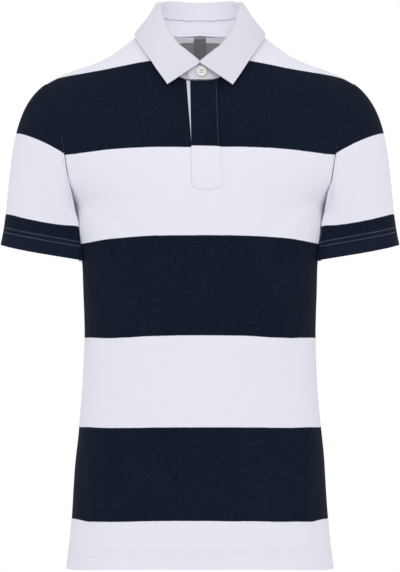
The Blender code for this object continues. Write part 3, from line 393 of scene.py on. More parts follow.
# The button from the middle of its back, round the rim, to the middle of its face, by radius and thickness.
Turning = namedtuple("Turning", "radius rise")
BUTTON_BACK = (Turning(0.0, 0.0), Turning(0.60, 0.0), Turning(0.80, 0.04), Turning(0.93, 0.20))
BUTTON_RIM = (Turning(0.99, 0.38), Turning(1.0, 0.52), Turning(0.985, 0.72), Turning(0.94, 0.90))
BUTTON_LIP = (Turning(0.88, 0.985), Turning(0.82, 1.0), Turning(0.75, 0.97), Turning(0.69, 0.88))
BUTTON_FACE = (Turning(0.63, 0.77), Turning(0.55, 0.70), Turning(0.35, 0.67), Turning(0.0, 0.66))
BUTTON_PROFILE = BUTTON_BACK + BUTTON_RIM + BUTTON_LIP + BUTTON_FACE
BUTTON_THICKNESS = 0.0024
BUTTON_SIDES = 64
HOLE_SPACING = 0.0030
HOLE_RADIUS = 0.00105
HOLE_SIDES = 24
STRAND_RADIUS = 0.00016
STRAND_ASIDE = 0.00018
STRAND_SIDES = 8
STRAND_STEPS = 12
STRAND_DIP = 0.0011

# The camera's place follows from the curves of hem and stripes. It looks a little upwards: its own level lies
# so many pixels below the picture's middle.
CAMERA_PLACE = (0.0, -3.3, -0.451)
LEVEL_PIXELS = 84
FOCAL_PIXELS = 2500
CAMERA_SENSOR = 36.0
CAMERA_LENS = 225.0
Lamp = namedtuple("Lamp", "name place size power aim")  # power names one of the studio's properties
SHIRT_MIDDLE = Vector((0.0, 0.0, -0.36))
NECK_BACK_PLACE = Vector((0.0, 0.075, -0.012))
LAMPS = (
    Lamp("key", (0.0, -3.0, 1.2), 1.6, "key", SHIRT_MIDDLE),
    Lamp("side_left", (-1.9, -2.6, 0.5), 2.2, "sides", SHIRT_MIDDLE),
    Lamp("side_right", (1.9, -2.6, 0.5), 2.2, "sides", SHIRT_MIDDLE),
    Lamp("neck", (0.0, -0.030, -0.050), 0.050, "neck", NECK_BACK_PLACE),
)
FLOOR_HALF_WIDTH = 2.4
FLOOR_DROP = 0.34  # below the hem

# ---- small tools -----------------------------------------


def ease(share):
    """0 to 1 with no corner at either end."""
    share = min(1.0, max(0.0, share))
    return share * share * (3 - 2 * share)


def curve(rows, key, value):
    """A smooth curve through one column of a table against another, which never overshoots its rows."""
    xs = [getattr(row, key) for row in rows]
    ys = [getattr(row, value) for row in rows]
    steps = [b - a for a, b in zip(xs, xs[1:])]
    grades = [(b - a) / step for a, b, step in zip(ys, ys[1:], steps)]
    slopes = [grades[0]]
    for before, after in zip(grades, grades[1:]):
        slopes.append(0.0 if before * after <= 0 else 2 * before * after / (before + after))
    slopes.append(grades[-1])

    def at(x):
        x = min(xs[-1], max(xs[0], x))
        i = next((k for k in range(len(steps)) if x <= xs[k + 1]), len(steps) - 1)
        t = (x - xs[i]) / steps[i]
        rise = ys[i] * (1 + 2 * t) * (1 - t) ** 2 + ys[i + 1] * t * t * (3 - 2 * t)
        return rise + steps[i] * (slopes[i] * t * (1 - t) ** 2 - slopes[i + 1] * t * t * (1 - t))

    return at


def evenly(points, count):
    """count + 1 points at equal steps along a polyline."""
    lengths = [0.0]
    for a, b in zip(points, points[1:]):
        lengths.append(lengths[-1] + (b - a).length)
    found, i = [], 0
    for k in range(count + 1):
        want = lengths[-1] * k / count
        while i < len(points) - 2 and lengths[i + 1] < want:
            i += 1
        span = lengths[i + 1] - lengths[i]
        share = 0.0 if span == 0 else (want - lengths[i]) / span
        found.append(points[i].lerp(points[i + 1], min(1.0, share)))
    return found


def bezier(a, b, c, d, t):
    """The point at t on the curve from a to d that b and c pull."""
    s = 1 - t
    return a * s**3 + b * 3 * s * s * t + c * 3 * s * t * t + d * t**3


def closer(values, count):
    """The list with count steps for each of its own."""
    found = []
    for a, b in zip(values, values[1:]):
        found += [a + (b - a) * k / count for k in range(count)]
    return found + [values[-1]]


# ---- the form --------------------------------------------

ring_half_width = curve(RINGS, "height", "half_width")
ring_front = curve(RINGS, "height", "front")
ring_back = curve(RINGS, "height", "back")
ridge_height = curve(RIDGES, "x", "height")
front_drop = curve(TURNS, "x", "front_drop")
front_round = curve(TURNS, "x", "front_round")
back_drop = curve(TURNS, "x", "back_drop")
back_round = curve(TURNS, "x", "back_round")


def turn(x, back):
    """The drop and the roundness with which the cloth turns over the shoulder ridge at x."""
    x = abs(x)
    return (back_drop(x), back_round(x)) if back else (front_drop(x), front_round(x))


def ring_depth(x, z, back):
    """How far the ring at height z reaches in front of, or behind, the shoulder line at x."""
    reach = ring_back(z) if back else ring_front(z)
    share = abs(x) / ring_half_width(z)
    if share > SIDE_SHARE:
        return 0.0
    return reach * (1 - share**RING_SQUARENESS) ** (1 / RING_SQUARENESS)


def fold_depth(x, z, back):
    """How far the soft folds draw the cloth in at this place."""
    total = 0.0
    for fold in BACK_FOLDS if back else FRONT_FOLDS:
        run_x, run_z = fold.x_foot - fold.x_top, fold.z_foot - fold.z_top
        length = math.hypot(run_x, run_z)
        along = ((x - fold.x_top) * run_x + (z - fold.z_top) * run_z) / length**2
        across = ((x - fold.x_top) * run_z - (z - fold.z_top) * run_x) / length
        fade = ease(FOLD_FADE * (along + FOLD_PAST_ENDS)) * ease(FOLD_FADE * (1 + FOLD_PAST_ENDS - along))
        total += fold.depth * fade * math.exp(-((across / fold.width) ** 2))
    return total


def wall_y(x, z, back):
    """y of the cloth's outer face at this place on the front or the back."""
    drop, roundness = turn(x, back)
    fallen = min(1.0, max(0.0, (ridge_height(abs(x)) - z) / drop))
    swell = (1 - (1 - fallen) ** roundness) ** (1 / roundness)
    depth = ring_depth(x, z, back) * swell
    depth -= min(fold_depth(x, z, back), FOLD_LIMIT * depth)
    return depth if back else -depth


def height(x, y):
    """z of the outer face above a point of the plan, near the shoulders; very low past the chest or back."""
    back = y > 0
    drop, roundness = turn(x, back)
    z = ridge_height(abs(x))
    for _ in range(RIDGE_ROUNDS):
        swell = abs(y) / max(1e-6, ring_depth(x, z, back))
        if swell >= 1:
            return PAST_SHOULDERS
        z = ridge_height(abs(x)) - drop * (1 - (1 - swell**roundness) ** (1 / roundness))
    return z


def lift_off_body(point, clearance):
    """The point, moved out along the body's normal where it is nearer to the body than the clearance."""
    step = 0.0015
    steepest = 6.0
    for _ in range(3):
        x, y, z = point
        top = height(x, y)
        if top == PAST_SHOULDERS:
            return point
        slope_x = (height(x + step, y) - height(x - step, y)) / (2 * step)
        slope_y = (height(x, y + step) - height(x, y - step)) / (2 * step)
        slope_x, slope_y = (max(-steepest, min(steepest, slope)) for slope in (slope_x, slope_y))
        steepness = math.sqrt(1 + slope_x**2 + slope_y**2)
        short = top + clearance * steepness - z
        if short <= 0:
            return point
        point = point + Vector((-slope_x, -slope_y, 1.0)) * (short / steepness**2)
    return point


def edge_x(z):
    """Half width of a body panel at height z: to the side seam, and above it to the armhole."""
    if z <= ARMPIT_Z:
        return ring_half_width(z)
    share = min(1.0, (z - ARMPIT_Z) / (TIP_Z - ARMPIT_Z))
    share -= ARMHOLE_HOLLOW * share * (1 - share)
    return ARMPIT_X + (TIP_X - ARMPIT_X) * share


def seam_y(x):
    """y of the shoulder seam, which lies a little in front of the ridge."""
    share = (abs(x) - NECK_HALF_WIDTH) / (TIP_X - NECK_HALF_WIDTH)
    return NECK_SEAM_Y + (TIP_SEAM_Y - NECK_SEAM_Y) * share


def neck_y(x, back):
    """y of the neck hole's edge in plan."""
    share = min(1.0, abs(x) / NECK_HALF_WIDTH)
    if back:
        return NECK_SEAM_Y + NECK_BACK * (1 - share**NECK_BACK_SQUARENESS) ** (1 / NECK_BACK_SQUARENESS)
    return NECK_SEAM_Y - NECK_FRONT * (1 - share**NECK_FRONT_SQUARENESS) ** (1 / NECK_FRONT_SQUARENESS)


# ---- nets of cloth ---------------------------------------


class Net:
    """A grid of points on the cloth's outer face: rows from the foot up, columns to the right as it is seen.

    In a closed net the last column is followed by the first. across and up are metres along the cloth, with
    one more column than the points where the net is closed. level is the height of the stripes at each point.
    left_out marks the cells that have no cloth.
    """

    def __init__(self, rows, closed=False, level=None):
        self.points = np.array([[tuple(point) for point in row] for row in rows]) + 0.0
        self.closed = closed
        self.left_out = None
        self.level = np.zeros(self.points.shape[:2]) if level is None else np.array(level)
        self.measure()
        self.normals = shared_normals([self])[0]

    def measure(self):
        """Work out across and up."""
        ring = self.points
        if self.closed:
            ring = np.concatenate([ring, ring[:, :1]], axis=1)
        steps = np.linalg.norm(np.diff(ring, axis=1), axis=2)
        self.across = np.concatenate([np.zeros((len(ring), 1)), np.cumsum(steps, axis=1)], axis=1)
        if not self.closed:
            self.across -= 0.5 * self.across[:, -1:]
        steps = np.linalg.norm(np.diff(ring, axis=0), axis=2)
        self.up = np.concatenate([np.zeros((1, ring.shape[1])), np.cumsum(steps, axis=0)], axis=0)

    def cells(self, columns=None):
        """Corner indices of the cells, the right way round as seen from outside."""
        count_r, count_c = self.points.shape[:2]
        wide = count_c if self.closed else count_c - 1
        r, c = np.meshgrid(np.arange(count_r - 1), np.arange(wide), indexing="ij")
        keep = np.ones(r.shape, bool) if self.left_out is None else ~self.left_out
        r, c = r[keep], c[keep]
        width = columns or count_c
        after = (c + 1) % width
        low, high = r * width, (r + 1) * width
        return np.stack([low + c, low + after, high + after, high + c], axis=1)

    def corners(self):
        """The same cells' indices into across and up."""
        return self.cells(self.across.shape[1])

    def shifted(self, distance):
        """The net moved out along its normals."""
        return self.with_points(self.points + self.normals * np.asarray(distance)[..., None])

    def with_points(self, points):
        """A net of other points with the same cells and stripes."""
        made = Net(points, self.closed, self.level)
        made.left_out = self.left_out
        return made

    def part(self, rows, columns):
        """The net of these rows and columns, with the normals that they have here."""
        made = Net(self.points[rows, columns], False, self.level[rows, columns])
        made.normals = self.normals[rows, columns]
        return made

    def at(self, r, c):
        """Point and normal at a fractional row and column."""
        last_r, last_c = self.points.shape[0] - 1, self.points.shape[1] - 1
        r = min(max(r, 0.0), float(last_r))
        r0 = min(int(r), last_r - 1)
        if self.closed:
            c0 = int(c) % (last_c + 1)
            c1 = (c0 + 1) % (last_c + 1)
            share_c = c - int(c)
        else:
            c = min(max(c, 0.0), float(last_c))
            c0 = min(int(c), last_c - 1)
            c1, share_c = c0 + 1, c - c0
        share_r, found = r - r0, []
        for grid in (self.points, self.normals):
            low = grid[r0, c0] * (1 - share_c) + grid[r0, c1] * share_c
            high = grid[r0 + 1, c0] * (1 - share_c) + grid[r0 + 1, c1] * share_c
            found.append(low * (1 - share_r) + high * share_r)
        return found[0], found[1] / np.linalg.norm(found[1])

    def row_at(self, column, rise, from_top=False):
        """Fractional row that lies so many metres up a column, or down it from the top."""
        up = self.up[:, int(round(column)) % self.up.shape[1]]
        want = up[-1] - rise if from_top else rise
        return float(np.interp(want, up, np.arange(len(up))))

    def column_at(self, row, inset, from_right=False):
        """Fractional column that lies so many metres in from an edge."""
        across = self.across[int(round(row))]
        want = across[-1] - inset if from_right else across[0] + inset
        return float(np.interp(want, across, np.arange(len(across))))


def shared_normals(nets):
    """Unit normals of the nets, shared where their points meet."""
    everything, sums = [], []
    for net in nets:
        flat = net.points.reshape(-1, 3)
        cells = net.cells()
        a, b, c, d = (flat[cells[:, k]] for k in range(4))
        cross = np.cross(c - a, d - b)
        total = np.zeros_like(flat)
        for k in range(4):
            np.add.at(total, cells[:, k], cross)
        everything.append(flat)
        sums.append(total)
    keys = np.round(np.concatenate(everything), 5) + 0.0
    _, group = np.unique(keys, axis=0, return_inverse=True)
    group = group.reshape(-1)
    pooled = np.zeros((group.max() + 1, 3))
    np.add.at(pooled, group, np.concatenate(sums))
    lengths = np.linalg.norm(pooled, axis=1, keepdims=True)
    pooled = np.where(lengths > 1e-15, pooled / np.maximum(lengths, 1e-15), (0.0, 0.0, 1.0))
    found, start = [], 0
    for net in nets:
        count = net.points.shape[0] * net.points.shape[1]
        found.append(pooled[group[start : start + count]].reshape(net.points.shape))
        start += count
    return found


def crease_depth(x, z, creases):
    """How far the creases draw the cloth in, at arrays of places."""
    total = np.zeros_like(x)
    for crease in creases:
        run_x, run_z = crease.x_foot - crease.x_top, crease.z_foot - crease.z_top
        length = math.hypot(run_x, run_z)
        along = ((x - crease.x_top) * run_x + (z - crease.z_top) * run_z) / length**2
        across = ((x - crease.x_top) * run_z - (z - crease.z_top) * run_x) / length
        across = across - crease.bow * 4 * along * (1 - along)
        fade = np.clip(CREASE_FADE_IN * (along - CREASE_START), 0, 1)
        fade = fade * np.clip(CREASE_FADE_OUT * (CREASE_END - along), 0, 1)
        fade = fade * fade * (3 - 2 * fade)
        trough = np.exp(-((across / crease.width) ** 2))
        ridge = np.exp(-(((across - RIDGE_ASIDE * crease.width) / (RIDGE_WIDTH * crease.width)) ** 2))
        total += crease.depth * fade * (trough - RIDGE_HEIGHT * ridge)
    return total


def wander(points):
    """The slight unevenness of hanging cloth, in metres along its normal."""
    flat = points.reshape(-1, 3)
    found = np.zeros(len(flat))
    for k, each in enumerate(WANDERS):
        shift = Vector((11.3 * k, 4.7, 2.9))
        found += [each.size * noise.noise(Vector(point) / each.scale + shift) for point in flat]
    return found.reshape(points.shape[:2])


def seam_dip(net, sides, depth=0.0006, width=0.0030):
    """How far the cloth rolls in towards the seams along the named sides."""
    dip = np.zeros(net.points.shape[:2])
    across, up = net.across[:, : dip.shape[1]], net.up[:, : dip.shape[1]]
    reach = {
        "left": across - across[:, :1],
        "right": across[:, -1:] - across,
        "foot": up,
        "top": up[-1:] - up,
    }
    for side in sides:
        dip = np.maximum(dip, depth * np.exp(-((reach[side] / width) ** 2)))
    return dip


def drawn_in(points, sides, gap):
    """The grid with the named sides moved into it by the gap."""
    points = points.copy()
    inner = {
        "left": ((slice(None), 0), (slice(None), 1)),
        "right": ((slice(None), -1), (slice(None), -2)),
        "foot": ((0, slice(None)), (1, slice(None))),
        "top": ((-1, slice(None)), (-2, slice(None))),
    }
    for side in sides:
        edge, inside = inner[side]
        step = points[inside] - points[edge]
        length = np.linalg.norm(step, axis=-1, keepdims=True)
        points[edge] += step / length * np.minimum(gap, 0.6 * length)
    return points


SOFT_EDGE = 0.0004
THIN_EDGE = 0.0002
COLLAR_EDGE = 0.0006
EDGE_SEGMENTS = 2
EDGE_ANGLE = math.radians(55)


def cloth_shell(node, net, thickness, finish, round_edge=SOFT_EDGE):
    """A thin closed shell on the net, thickened inwards, that stands for a node."""
    name = node + "_cloth"
    depth = np.broadcast_to(np.asarray(thickness, float), net.points.shape[:2])
    cells, corners = net.cells(), net.corners()
    used, packed = np.unique(cells, return_inverse=True)
    cells = packed.reshape(cells.shape)
    outer = net.points.reshape(-1, 3)[used]
    inner = outer - (net.normals * depth[..., None]).reshape(-1, 3)[used]
    count = len(used)

    starts, ends = cells.reshape(-1), np.roll(cells, -1, axis=1).reshape(-1)
    first, second = corners.reshape(-1), np.roll(corners, -1, axis=1).reshape(-1)
    open_edge = ~np.isin(starts * count + ends, ends * count + starts)
    a, b = starts[open_edge], ends[open_edge]
    rim = np.stack([b, a, a + count, b + count], axis=1)
    rim_corners = np.stack([second, first, first, second], axis=1)[open_edge]
    faces = np.concatenate([cells, cells[:, ::-1] + count, rim])
    corner = np.concatenate([corners, corners[:, ::-1], rim_corners]).reshape(-1)

    mesh = bpy.data.meshes.new(name)
    mesh.from_pydata(np.concatenate([outer, inner]).tolist(), [], faces.tolist())
    plan = np.stack([net.across.reshape(-1)[corner], net.up.reshape(-1)[corner]], axis=1)
    layer = mesh.uv_layers.new(name="cloth")
    layer.data.foreach_set("uv", plan.astype(np.float32).reshape(-1))
    level = net.level.reshape(-1)[used]
    for title, values in (
        ("level", np.concatenate([level, level])),
        ("inside", np.concatenate([np.zeros(count), np.ones(count)])),
    ):
        mesh.attributes.new(title, "FLOAT", "POINT").data.foreach_set("value", values.astype(np.float32))
    mesh.shade_smooth()
    mesh.materials.append(finish)
    piece = bpy.data.objects.new(name, mesh)
    bpy.context.scene.collection.objects.link(piece)
    bevel = piece.modifiers.new("rounded_edge", "BEVEL")
    bevel.width, bevel.segments = round_edge, EDGE_SEGMENTS
    bevel.limit_method, bevel.angle_limit = "ANGLE", EDGE_ANGLE
    bevel.harden_normals = True
    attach(piece, "root")
    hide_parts(node)
    return piece


# ---- front and back panels -------------------------------

Column = namedtuple("Column", "share top_x foot_x")
BLEND_LOW_Z = -0.380
BLEND_HIGH_Z = PLACKET_FOOT_Z
NECK_CORNER_FOOT = 0.078
FAN_DROP = 0.1285
DIP_RUN = 0.2  # how far below the armpit the side dip is whole
RIDGE_SHARE = 0.3  # share of the drop below the ridge from where a column's points go by depth, not height
UPPER_WALL_STEPS = 24
UPPER_RIDGE_STEPS = 32
EDGE_CALM = 0.010  # creases die out this near to an edge
HEM_STEP_RUN = 0.0016


def even_shares(count):
    """Shares of the half width that split a quarter ring into equal lengths."""
    z = 0.5 * (HEM_Z + ARMPIT_Z)
    half, samples = ring_half_width(z), 400
    quarter = []
    for k in range(samples + 1):
        x = half * math.sin(0.5 * math.pi * k / samples)
        quarter.append(Vector((x, ring_depth(x, z, False), 0.0)))
    return [point.x / half for point in evenly(quarter, count)]


def columns_through(neck_columns):
    """Columns from the right edge to the left one; neck_columns are those that end at the neck."""
    shoulder = []
    for k in range(1, SHOULDER_COLUMNS + 1):
        shoulder.append(NECK_HALF_WIDTH + (TIP_X - NECK_HALF_WIDTH) * k / SHOULDER_COLUMNS)
    places = [(-x, -x) for x in reversed(shoulder)] + list(neck_columns) + [(x, x) for x in shoulder]
    last = len(places) - 1
    fine = even_shares(last * FINE_COLUMNS)
    tops = closer([top for top, _ in places], FINE_COLUMNS)
    feet = closer([foot for _, foot in places], FINE_COLUMNS)
    columns = []
    for k, (top_x, foot_x) in enumerate(zip(tops, feet)):
        across = 2 * k - last * FINE_COLUMNS
        columns.append(Column(math.copysign(fine[abs(across)], across), top_x, foot_x))
    return columns


@functools.cache
def column_top(x, back):
    """Height of the neck's edge at x."""
    return height(x, neck_y(x, back))


def column_x(column, z, back):
    """x of a column of the net at height z; the columns fan out below the neck."""
    edge = edge_x(z)
    top = abs(column.top_x)
    down = min(1.0, max(0.0, (column_top(min(top, NECK_HALF_WIDTH), back) - z) / FAN_DROP))
    if top > NECK_HALF_WIDTH:
        corner = NECK_HALF_WIDTH + (NECK_CORNER_FOOT - NECK_HALF_WIDTH) * down
        stretch = (edge - corner) / (TIP_X - NECK_HALF_WIDTH)
        upper = math.copysign(corner + (top - NECK_HALF_WIDTH) * stretch, column.top_x)
    else:
        upper = column.top_x + (column.foot_x - column.top_x) * down
    blend = ease((z - BLEND_LOW_Z) / (BLEND_HIGH_Z - BLEND_LOW_Z))
    return (1 - blend) * column.share * edge + blend * upper


def column_point(column, z, back):
    """Point of a column at height z, with the level lines dipping towards the side seam."""
    x = column_x(column, z, back)
    low = z - SIDE_DIP * ease((ARMPIT_Z - z) / DIP_RUN) * abs(x / edge_x(z)) ** 3
    return Vector((x, wall_y(x, z, back), low))


def upper_path(column, back):
    """Close points up a column from the placket's foot box to the neck or the shoulder seam."""
    at_neck = abs(column.top_x) <= NECK_HALF_WIDTH
    end_y = neck_y(column.top_x, back) if at_neck else seam_y(column.top_x)
    end_z = height(column.top_x, end_y)
    switch_z = ridge_height(abs(column.top_x)) - RIDGE_SHARE * turn(column.top_x, back)[0]
    if at_neck and end_z < switch_z:
        switch_z = end_z
    points = []
    for k in range(UPPER_WALL_STEPS + 1):
        z = PLACKET_BOX_Z + (switch_z - PLACKET_BOX_Z) * k / UPPER_WALL_STEPS
        points.append(column_point(column, z, back))
    start_y, z = points[-1].y, switch_z
    for k in range(1, UPPER_RIDGE_STEPS + 1):
        y = start_y + (end_y - start_y) * k / UPPER_RIDGE_STEPS
        for _ in range(3):
            x = column_x(column, z, back)
            z = height(x, y)
        points.append(Vector((x, y, z)))
    return points


def stripe_level(x, z, back):
    """Height of the stripes at a place: they sag a little, and the first one's top falls towards the tips."""
    x = abs(x)
    if back:
        tip = STRIPES[0].top - FRONT_TOP_SLOPE * BACK_TOP_RUN
        top = BACK_TOP_Z - (BACK_TOP_Z - tip) * (x / BACK_TOP_RUN) ** BACK_TOP_POWER
        top += BACK_TOP_SWELL * ease(x / 0.030) * ease((0.11 - x) / 0.06)
    else:
        top = STRIPES[0].top - FRONT_TOP_SLOPE * x
    sags = [np.interp(x, SAG_PLACES, row.amounts) for row in SAGS]
    sag = float(np.interp(-z, [-row.height for row in SAGS], sags))
    return z + (STRIPES[0].top - top) * ease((z - TOP_BLEND_FOOT) / TOP_BLEND_RUN) + sag


def body_net(columns, back):
    """Rows of points from the hem up, each row from the wearer's right to the left."""
    levels = [
        HEM_Z + (ARMPIT_Z - HEM_Z) * share
        for share in [0.0, HEM_DEPTH / (ARMPIT_Z - HEM_Z)]
        + [k / ROWS_BELOW_ARMPIT for k in range(2, ROWS_BELOW_ARMPIT + 1)]
    ]
    levels = closer(levels, FINE_LOW_ROWS)
    levels += closer([ARMPIT_Z, PLACKET_FOOT_Z, PLACKET_BOX_Z], FINE_HIGH_ROWS)[1:]
    rows = [[column_point(column, z, back) for column in columns] for z in levels]
    level = [[stripe_level(column_x(column, z, back), z, back) for column in columns] for z in levels]
    tops = [evenly(upper_path(column, back), ROWS_ABOVE_BOX * FINE_HIGH_ROWS) for column in columns]
    for k in range(1, ROWS_ABOVE_BOX * FINE_HIGH_ROWS + 1):
        rows.append([top[k] for top in tops])
        level.append([stripe_level(top[k].x, top[k].z, back) for top in tops])
    return rows, level


BOX_ROW = ROWS_BELOW_ARMPIT * FINE_LOW_ROWS + 2 * FINE_HIGH_ROWS
ARMPIT_ROW = ROWS_BELOW_ARMPIT * FINE_LOW_ROWS
FRONT_NECK_COLUMNS = (  # x at the neck and at the foot of the fan, as in the placket's edges
    ((-NECK_HALF_WIDTH, -NECK_CORNER_FOOT), (-0.0608, -0.0680), (-0.0545, -0.0570))
    + ((-0.0430, -0.0440), (-0.0300, -0.0305))
    + (SLIT_LEFT, UNDER_MIDDLE, PLACKET_INNER, SLIT_RIGHT, PLACKET_MIDDLE, PLACKET_SEWN_EDGE)
    + ((0.0340, 0.0380), (0.0440, 0.0480), (0.0545, 0.0580), (0.0608, 0.0680))
    + ((NECK_HALF_WIDTH, NECK_CORNER_FOOT),)
)
SLIT_COLUMN = (SHOULDER_COLUMNS + 5) * FINE_COLUMNS  # the slit's edge on the picture's left, and on its right
SLIT_END_COLUMN = SLIT_COLUMN + 3 * FINE_COLUMNS


def crumpled(net, creases, seams):
    """The panel with its creases, its unevenness and its seams rolled in. Its edges stay where they are."""
    x, z = net.points[..., 0], net.points[..., 2]
    across, up = net.across, net.up
    width = net.points.shape[1]
    reach = np.minimum(across[:, :width] - across[:, :1], across[:, -1:] - across[:, :width])
    reach = np.minimum(reach, up[-1:] - up)
    free = np.clip(reach / EDGE_CALM, 0, 1)
    inwards = crease_depth(x, z, creases) * free + wander(net.points) * free + seam_dip(net, seams)
    return net.shifted(-inwards)


@functools.cache
def panels():
    """The front and back nets as they are sewn, and the same with creases."""
    half = ((NECK_HALF_WIDTH, NECK_CORNER_FOOT), (0.0600, 0.0680), (0.0535, 0.0560), (0.0410, 0.0410))
    half += ((0.0250, 0.0250), (LABEL_HALF_WIDTH, LABEL_HALF_WIDTH))
    back_neck = [(-top, -foot) for top, foot in half] + [(0.0, 0.0)] + list(reversed(half))
    rows, level = body_net(columns_through(FRONT_NECK_COLUMNS), back=False)
    front = Net(rows, level=level)
    rows, level = body_net(columns_through(back_neck), back=True)
    back_rows = [list(reversed(row)) for row in rows]
    for k in range(SHOULDER_COLUMNS * FINE_COLUMNS + 1):
        back_rows[-1][k] = front.points[-1][-1 - k]
        back_rows[-1][-1 - k] = front.points[-1][k]
    back = Net(back_rows, level=[list(reversed(row)) for row in level])
    front.normals, back.normals = shared_normals([front, back])
    worn = []
    for net, creases in ((front, FRONT_CREASES), (back, BACK_CREASES)):
        made = crumpled(net, creases, ("left", "right", "top"))
        worn.append(made)
    worn[0].normals, worn[1].normals = shared_normals(worn)
    return front, back, worn[0], worn[1]


def hem_thickness(net):
    """Cloth turned up double at the hem, with a soft step above it."""
    up = net.up[:, : net.points.shape[1]]
    step = np.clip((HEM_DEPTH - up) / HEM_STEP_RUN + 0.5, 0, 1)
    return CLOTH + (HEM_CLOTH - CLOTH) * step


# ---- sleeves ---------------------------------------------


def cuff_point(angle):
    """Point of the cuff's edge: 0 at the body, a quarter turn at the front, a half turn outside."""
    out = Vector((math.cos(CUFF_RISE_OUT), 0.0, math.sin(CUFF_RISE_OUT)))
    behind = Vector((0.0, math.cos(CUFF_RISE_BACK), math.sin(CUFF_RISE_BACK)))
    inward, forward = math.cos(angle), math.sin(angle)
    if inward > 0:
        power = 2 / CUFF_SQUARENESS
        forward = math.copysign(abs(forward) ** power, forward)
        return CUFF_CENTRE - out * (CUFF_INNER_WIDTH * inward**power) - behind * (CUFF_HALF_DEPTH * forward)
    return CUFF_CENTRE - out * (CUFF_HALF_WIDTH * inward) - behind * (CUFF_HALF_DEPTH * forward)


def clear_of_side(point, clearance, hold):
    """A sleeve's point, kept outside the body's ring at its height by the share that hold gives."""
    if point.z > SLEEVE_FREE_Z:
        return point
    reach = ring_back(point.z) if point.y > 0 else ring_front(point.z)
    spread = (abs(point.x) / ring_half_width(point.z)) ** RING_SQUARENESS
    spread += (abs(point.y) / reach) ** RING_SQUARENESS
    scale = (1 + clearance / math.hypot(point.x, point.y)) * spread ** (-1 / RING_SQUARENESS)
    scale = 1 + max(0.0, scale - 1) * ease((SLEEVE_FREE_Z - point.z) / SLEEVE_FREE_RUN) * hold
    return Vector((point.x * scale, point.y * scale, point.z))


def sleeve_meridian(start, angle, shares):
    """Points from the armhole to the cuff at one angle round the sleeve."""
    end = cuff_point(angle)
    height_share = 0.5 * (1 - math.cos(angle))
    leave = UNDERARM_OUT.lerp(CAP_OUT, height_share**CAP_SPREAD)
    leave = leave + Vector((0.0, -math.sin(angle), 0.0)) * CAP_PUFF
    arrive = Vector((0.0, 0.0, -1.0)) + (end - CUFF_CENTRE).normalized() * CUFF_FLARE
    span = (end - start).length
    near = start + leave.normalized() * span * CAP_PULL
    far = end - arrive.normalized() * span * CUFF_PULL
    points = []
    for share in shares:
        share = max(share, SEAM_SHOWN / (3 * CAP_PULL * span))
        left_seam = min(1.0, share * span / ARMHOLE_RUN)
        clearance = SEAM_SHOWN + (SLEEVE_CLEARANCE - SEAM_SHOWN) * left_seam
        hold = 1 - (1 - left_seam) * ease((start.z - ARMPIT_Z) / ARMPIT_RUN)
        point = clear_of_side(bezier(start, near, far, end, share), clearance, hold)
        tuck = SLEEVE_TUCK * ease((SLEEVE_TUCK_Z - point.z) / SLEEVE_TUCK_RUN)
        points.append(Vector((max(point.x, edge_x(point.z) - tuck), point.y, point.z)))
    return points


def sleeve_line(line, x):
    """Height of one of the sleeve's colour changes, which is a slanting bow."""
    run = line.x - abs(x)
    share = min(1.0, max(0.0, run / line.run))
    return line.z - line.slope * run + 4 * line.bow * share * (1 - share)


def sleeve_level(x, z):
    """Height of the stripes on a sleeve."""
    top, foot = sleeve_line(SLEEVE_TOP_LINE, x), sleeve_line(SLEEVE_FOOT_LINE, x)
    return STRIPES[0].foot + (z - top) / (foot - top) * (STRIPES[1].top - STRIPES[0].foot)


@functools.cache
def sleeve(mirror):
    """One sleeve's net, rows from the cuff up to the armhole, columns round from the underarm."""
    front, back = panels()[:2]
    up = [Vector(point) for point in front.points[ARMPIT_ROW:, -1]]
    down = [Vector(point) for point in back.points[ARMPIT_ROW:, 0][::-1]]
    edge = up[:-1] + down[:-1]
    turns = [math.pi * k / (len(up) - 1) for k in range(len(up) - 1)]
    turns += [math.pi + math.pi * k / (len(down) - 1) for k in range(len(down) - 1)]
    shares = [1.0 - k / SLEEVE_ROWS for k in range(SLEEVE_ROWS)] + SLEEVE_SEAM_SHARES
    meridians = [sleeve_meridian(start, angle, shares) for start, angle in zip(edge, turns)]
    if mirror:
        turned = meridians[:1] + meridians[:0:-1]
        meridians = [[Vector((-point.x, point.y, point.z)) for point in line] for line in turned]
    rows = [[line[r] for line in meridians] for r in range(len(shares))]
    level = [[sleeve_level(point.x, point.z) for point in row] for row in rows]
    net = Net(rows, closed=True, level=level)
    round_seam = net.across[:, :-1]
    if mirror:
        round_seam = net.across[:, -1:] - round_seam
    whole = net.across[:, -1:]
    signed = np.where(round_seam > 0.5 * whole, round_seam - whole, round_seam)
    rise = net.up[:, :-1]
    creases = SLEEVE_CREASES
    if mirror:
        creases = [
            crease._replace(x_top=RIGHT_SLEEVE_SHIFT * crease.x_top, depth=RIGHT_SLEEVE_DEPTH * crease.depth)
            for crease in SLEEVE_CREASES
        ]
    free = np.clip((rise[-1:] - rise) / 0.012, 0, 1) * np.clip(rise / 0.020 + 0.25, 0, 1)
    free = free * np.clip(np.abs(signed) / 0.012, 0, 1)
    inwards = crease_depth(signed, rise, creases) * free + wander(net.points) * SLEEVE_WANDER * free
    return net.shifted(-inwards - seam_dip(net, ("top",), 0.0005))


# ---- collar ----------------------------------------------


def half_neck():
    """Close points along the left half of the neck's edge, from the centre front to the centre back."""
    steps = 60
    front_x = [NECK_HALF_WIDTH * math.sin(0.5 * math.pi * k / steps) for k in range(steps + 1)]
    plan = [(x, neck_y(x, False)) for x in front_x] + [(x, neck_y(x, True)) for x in reversed(front_x[:-1])]
    return [Vector((x, y, height(x, y))) for x, y in plan]


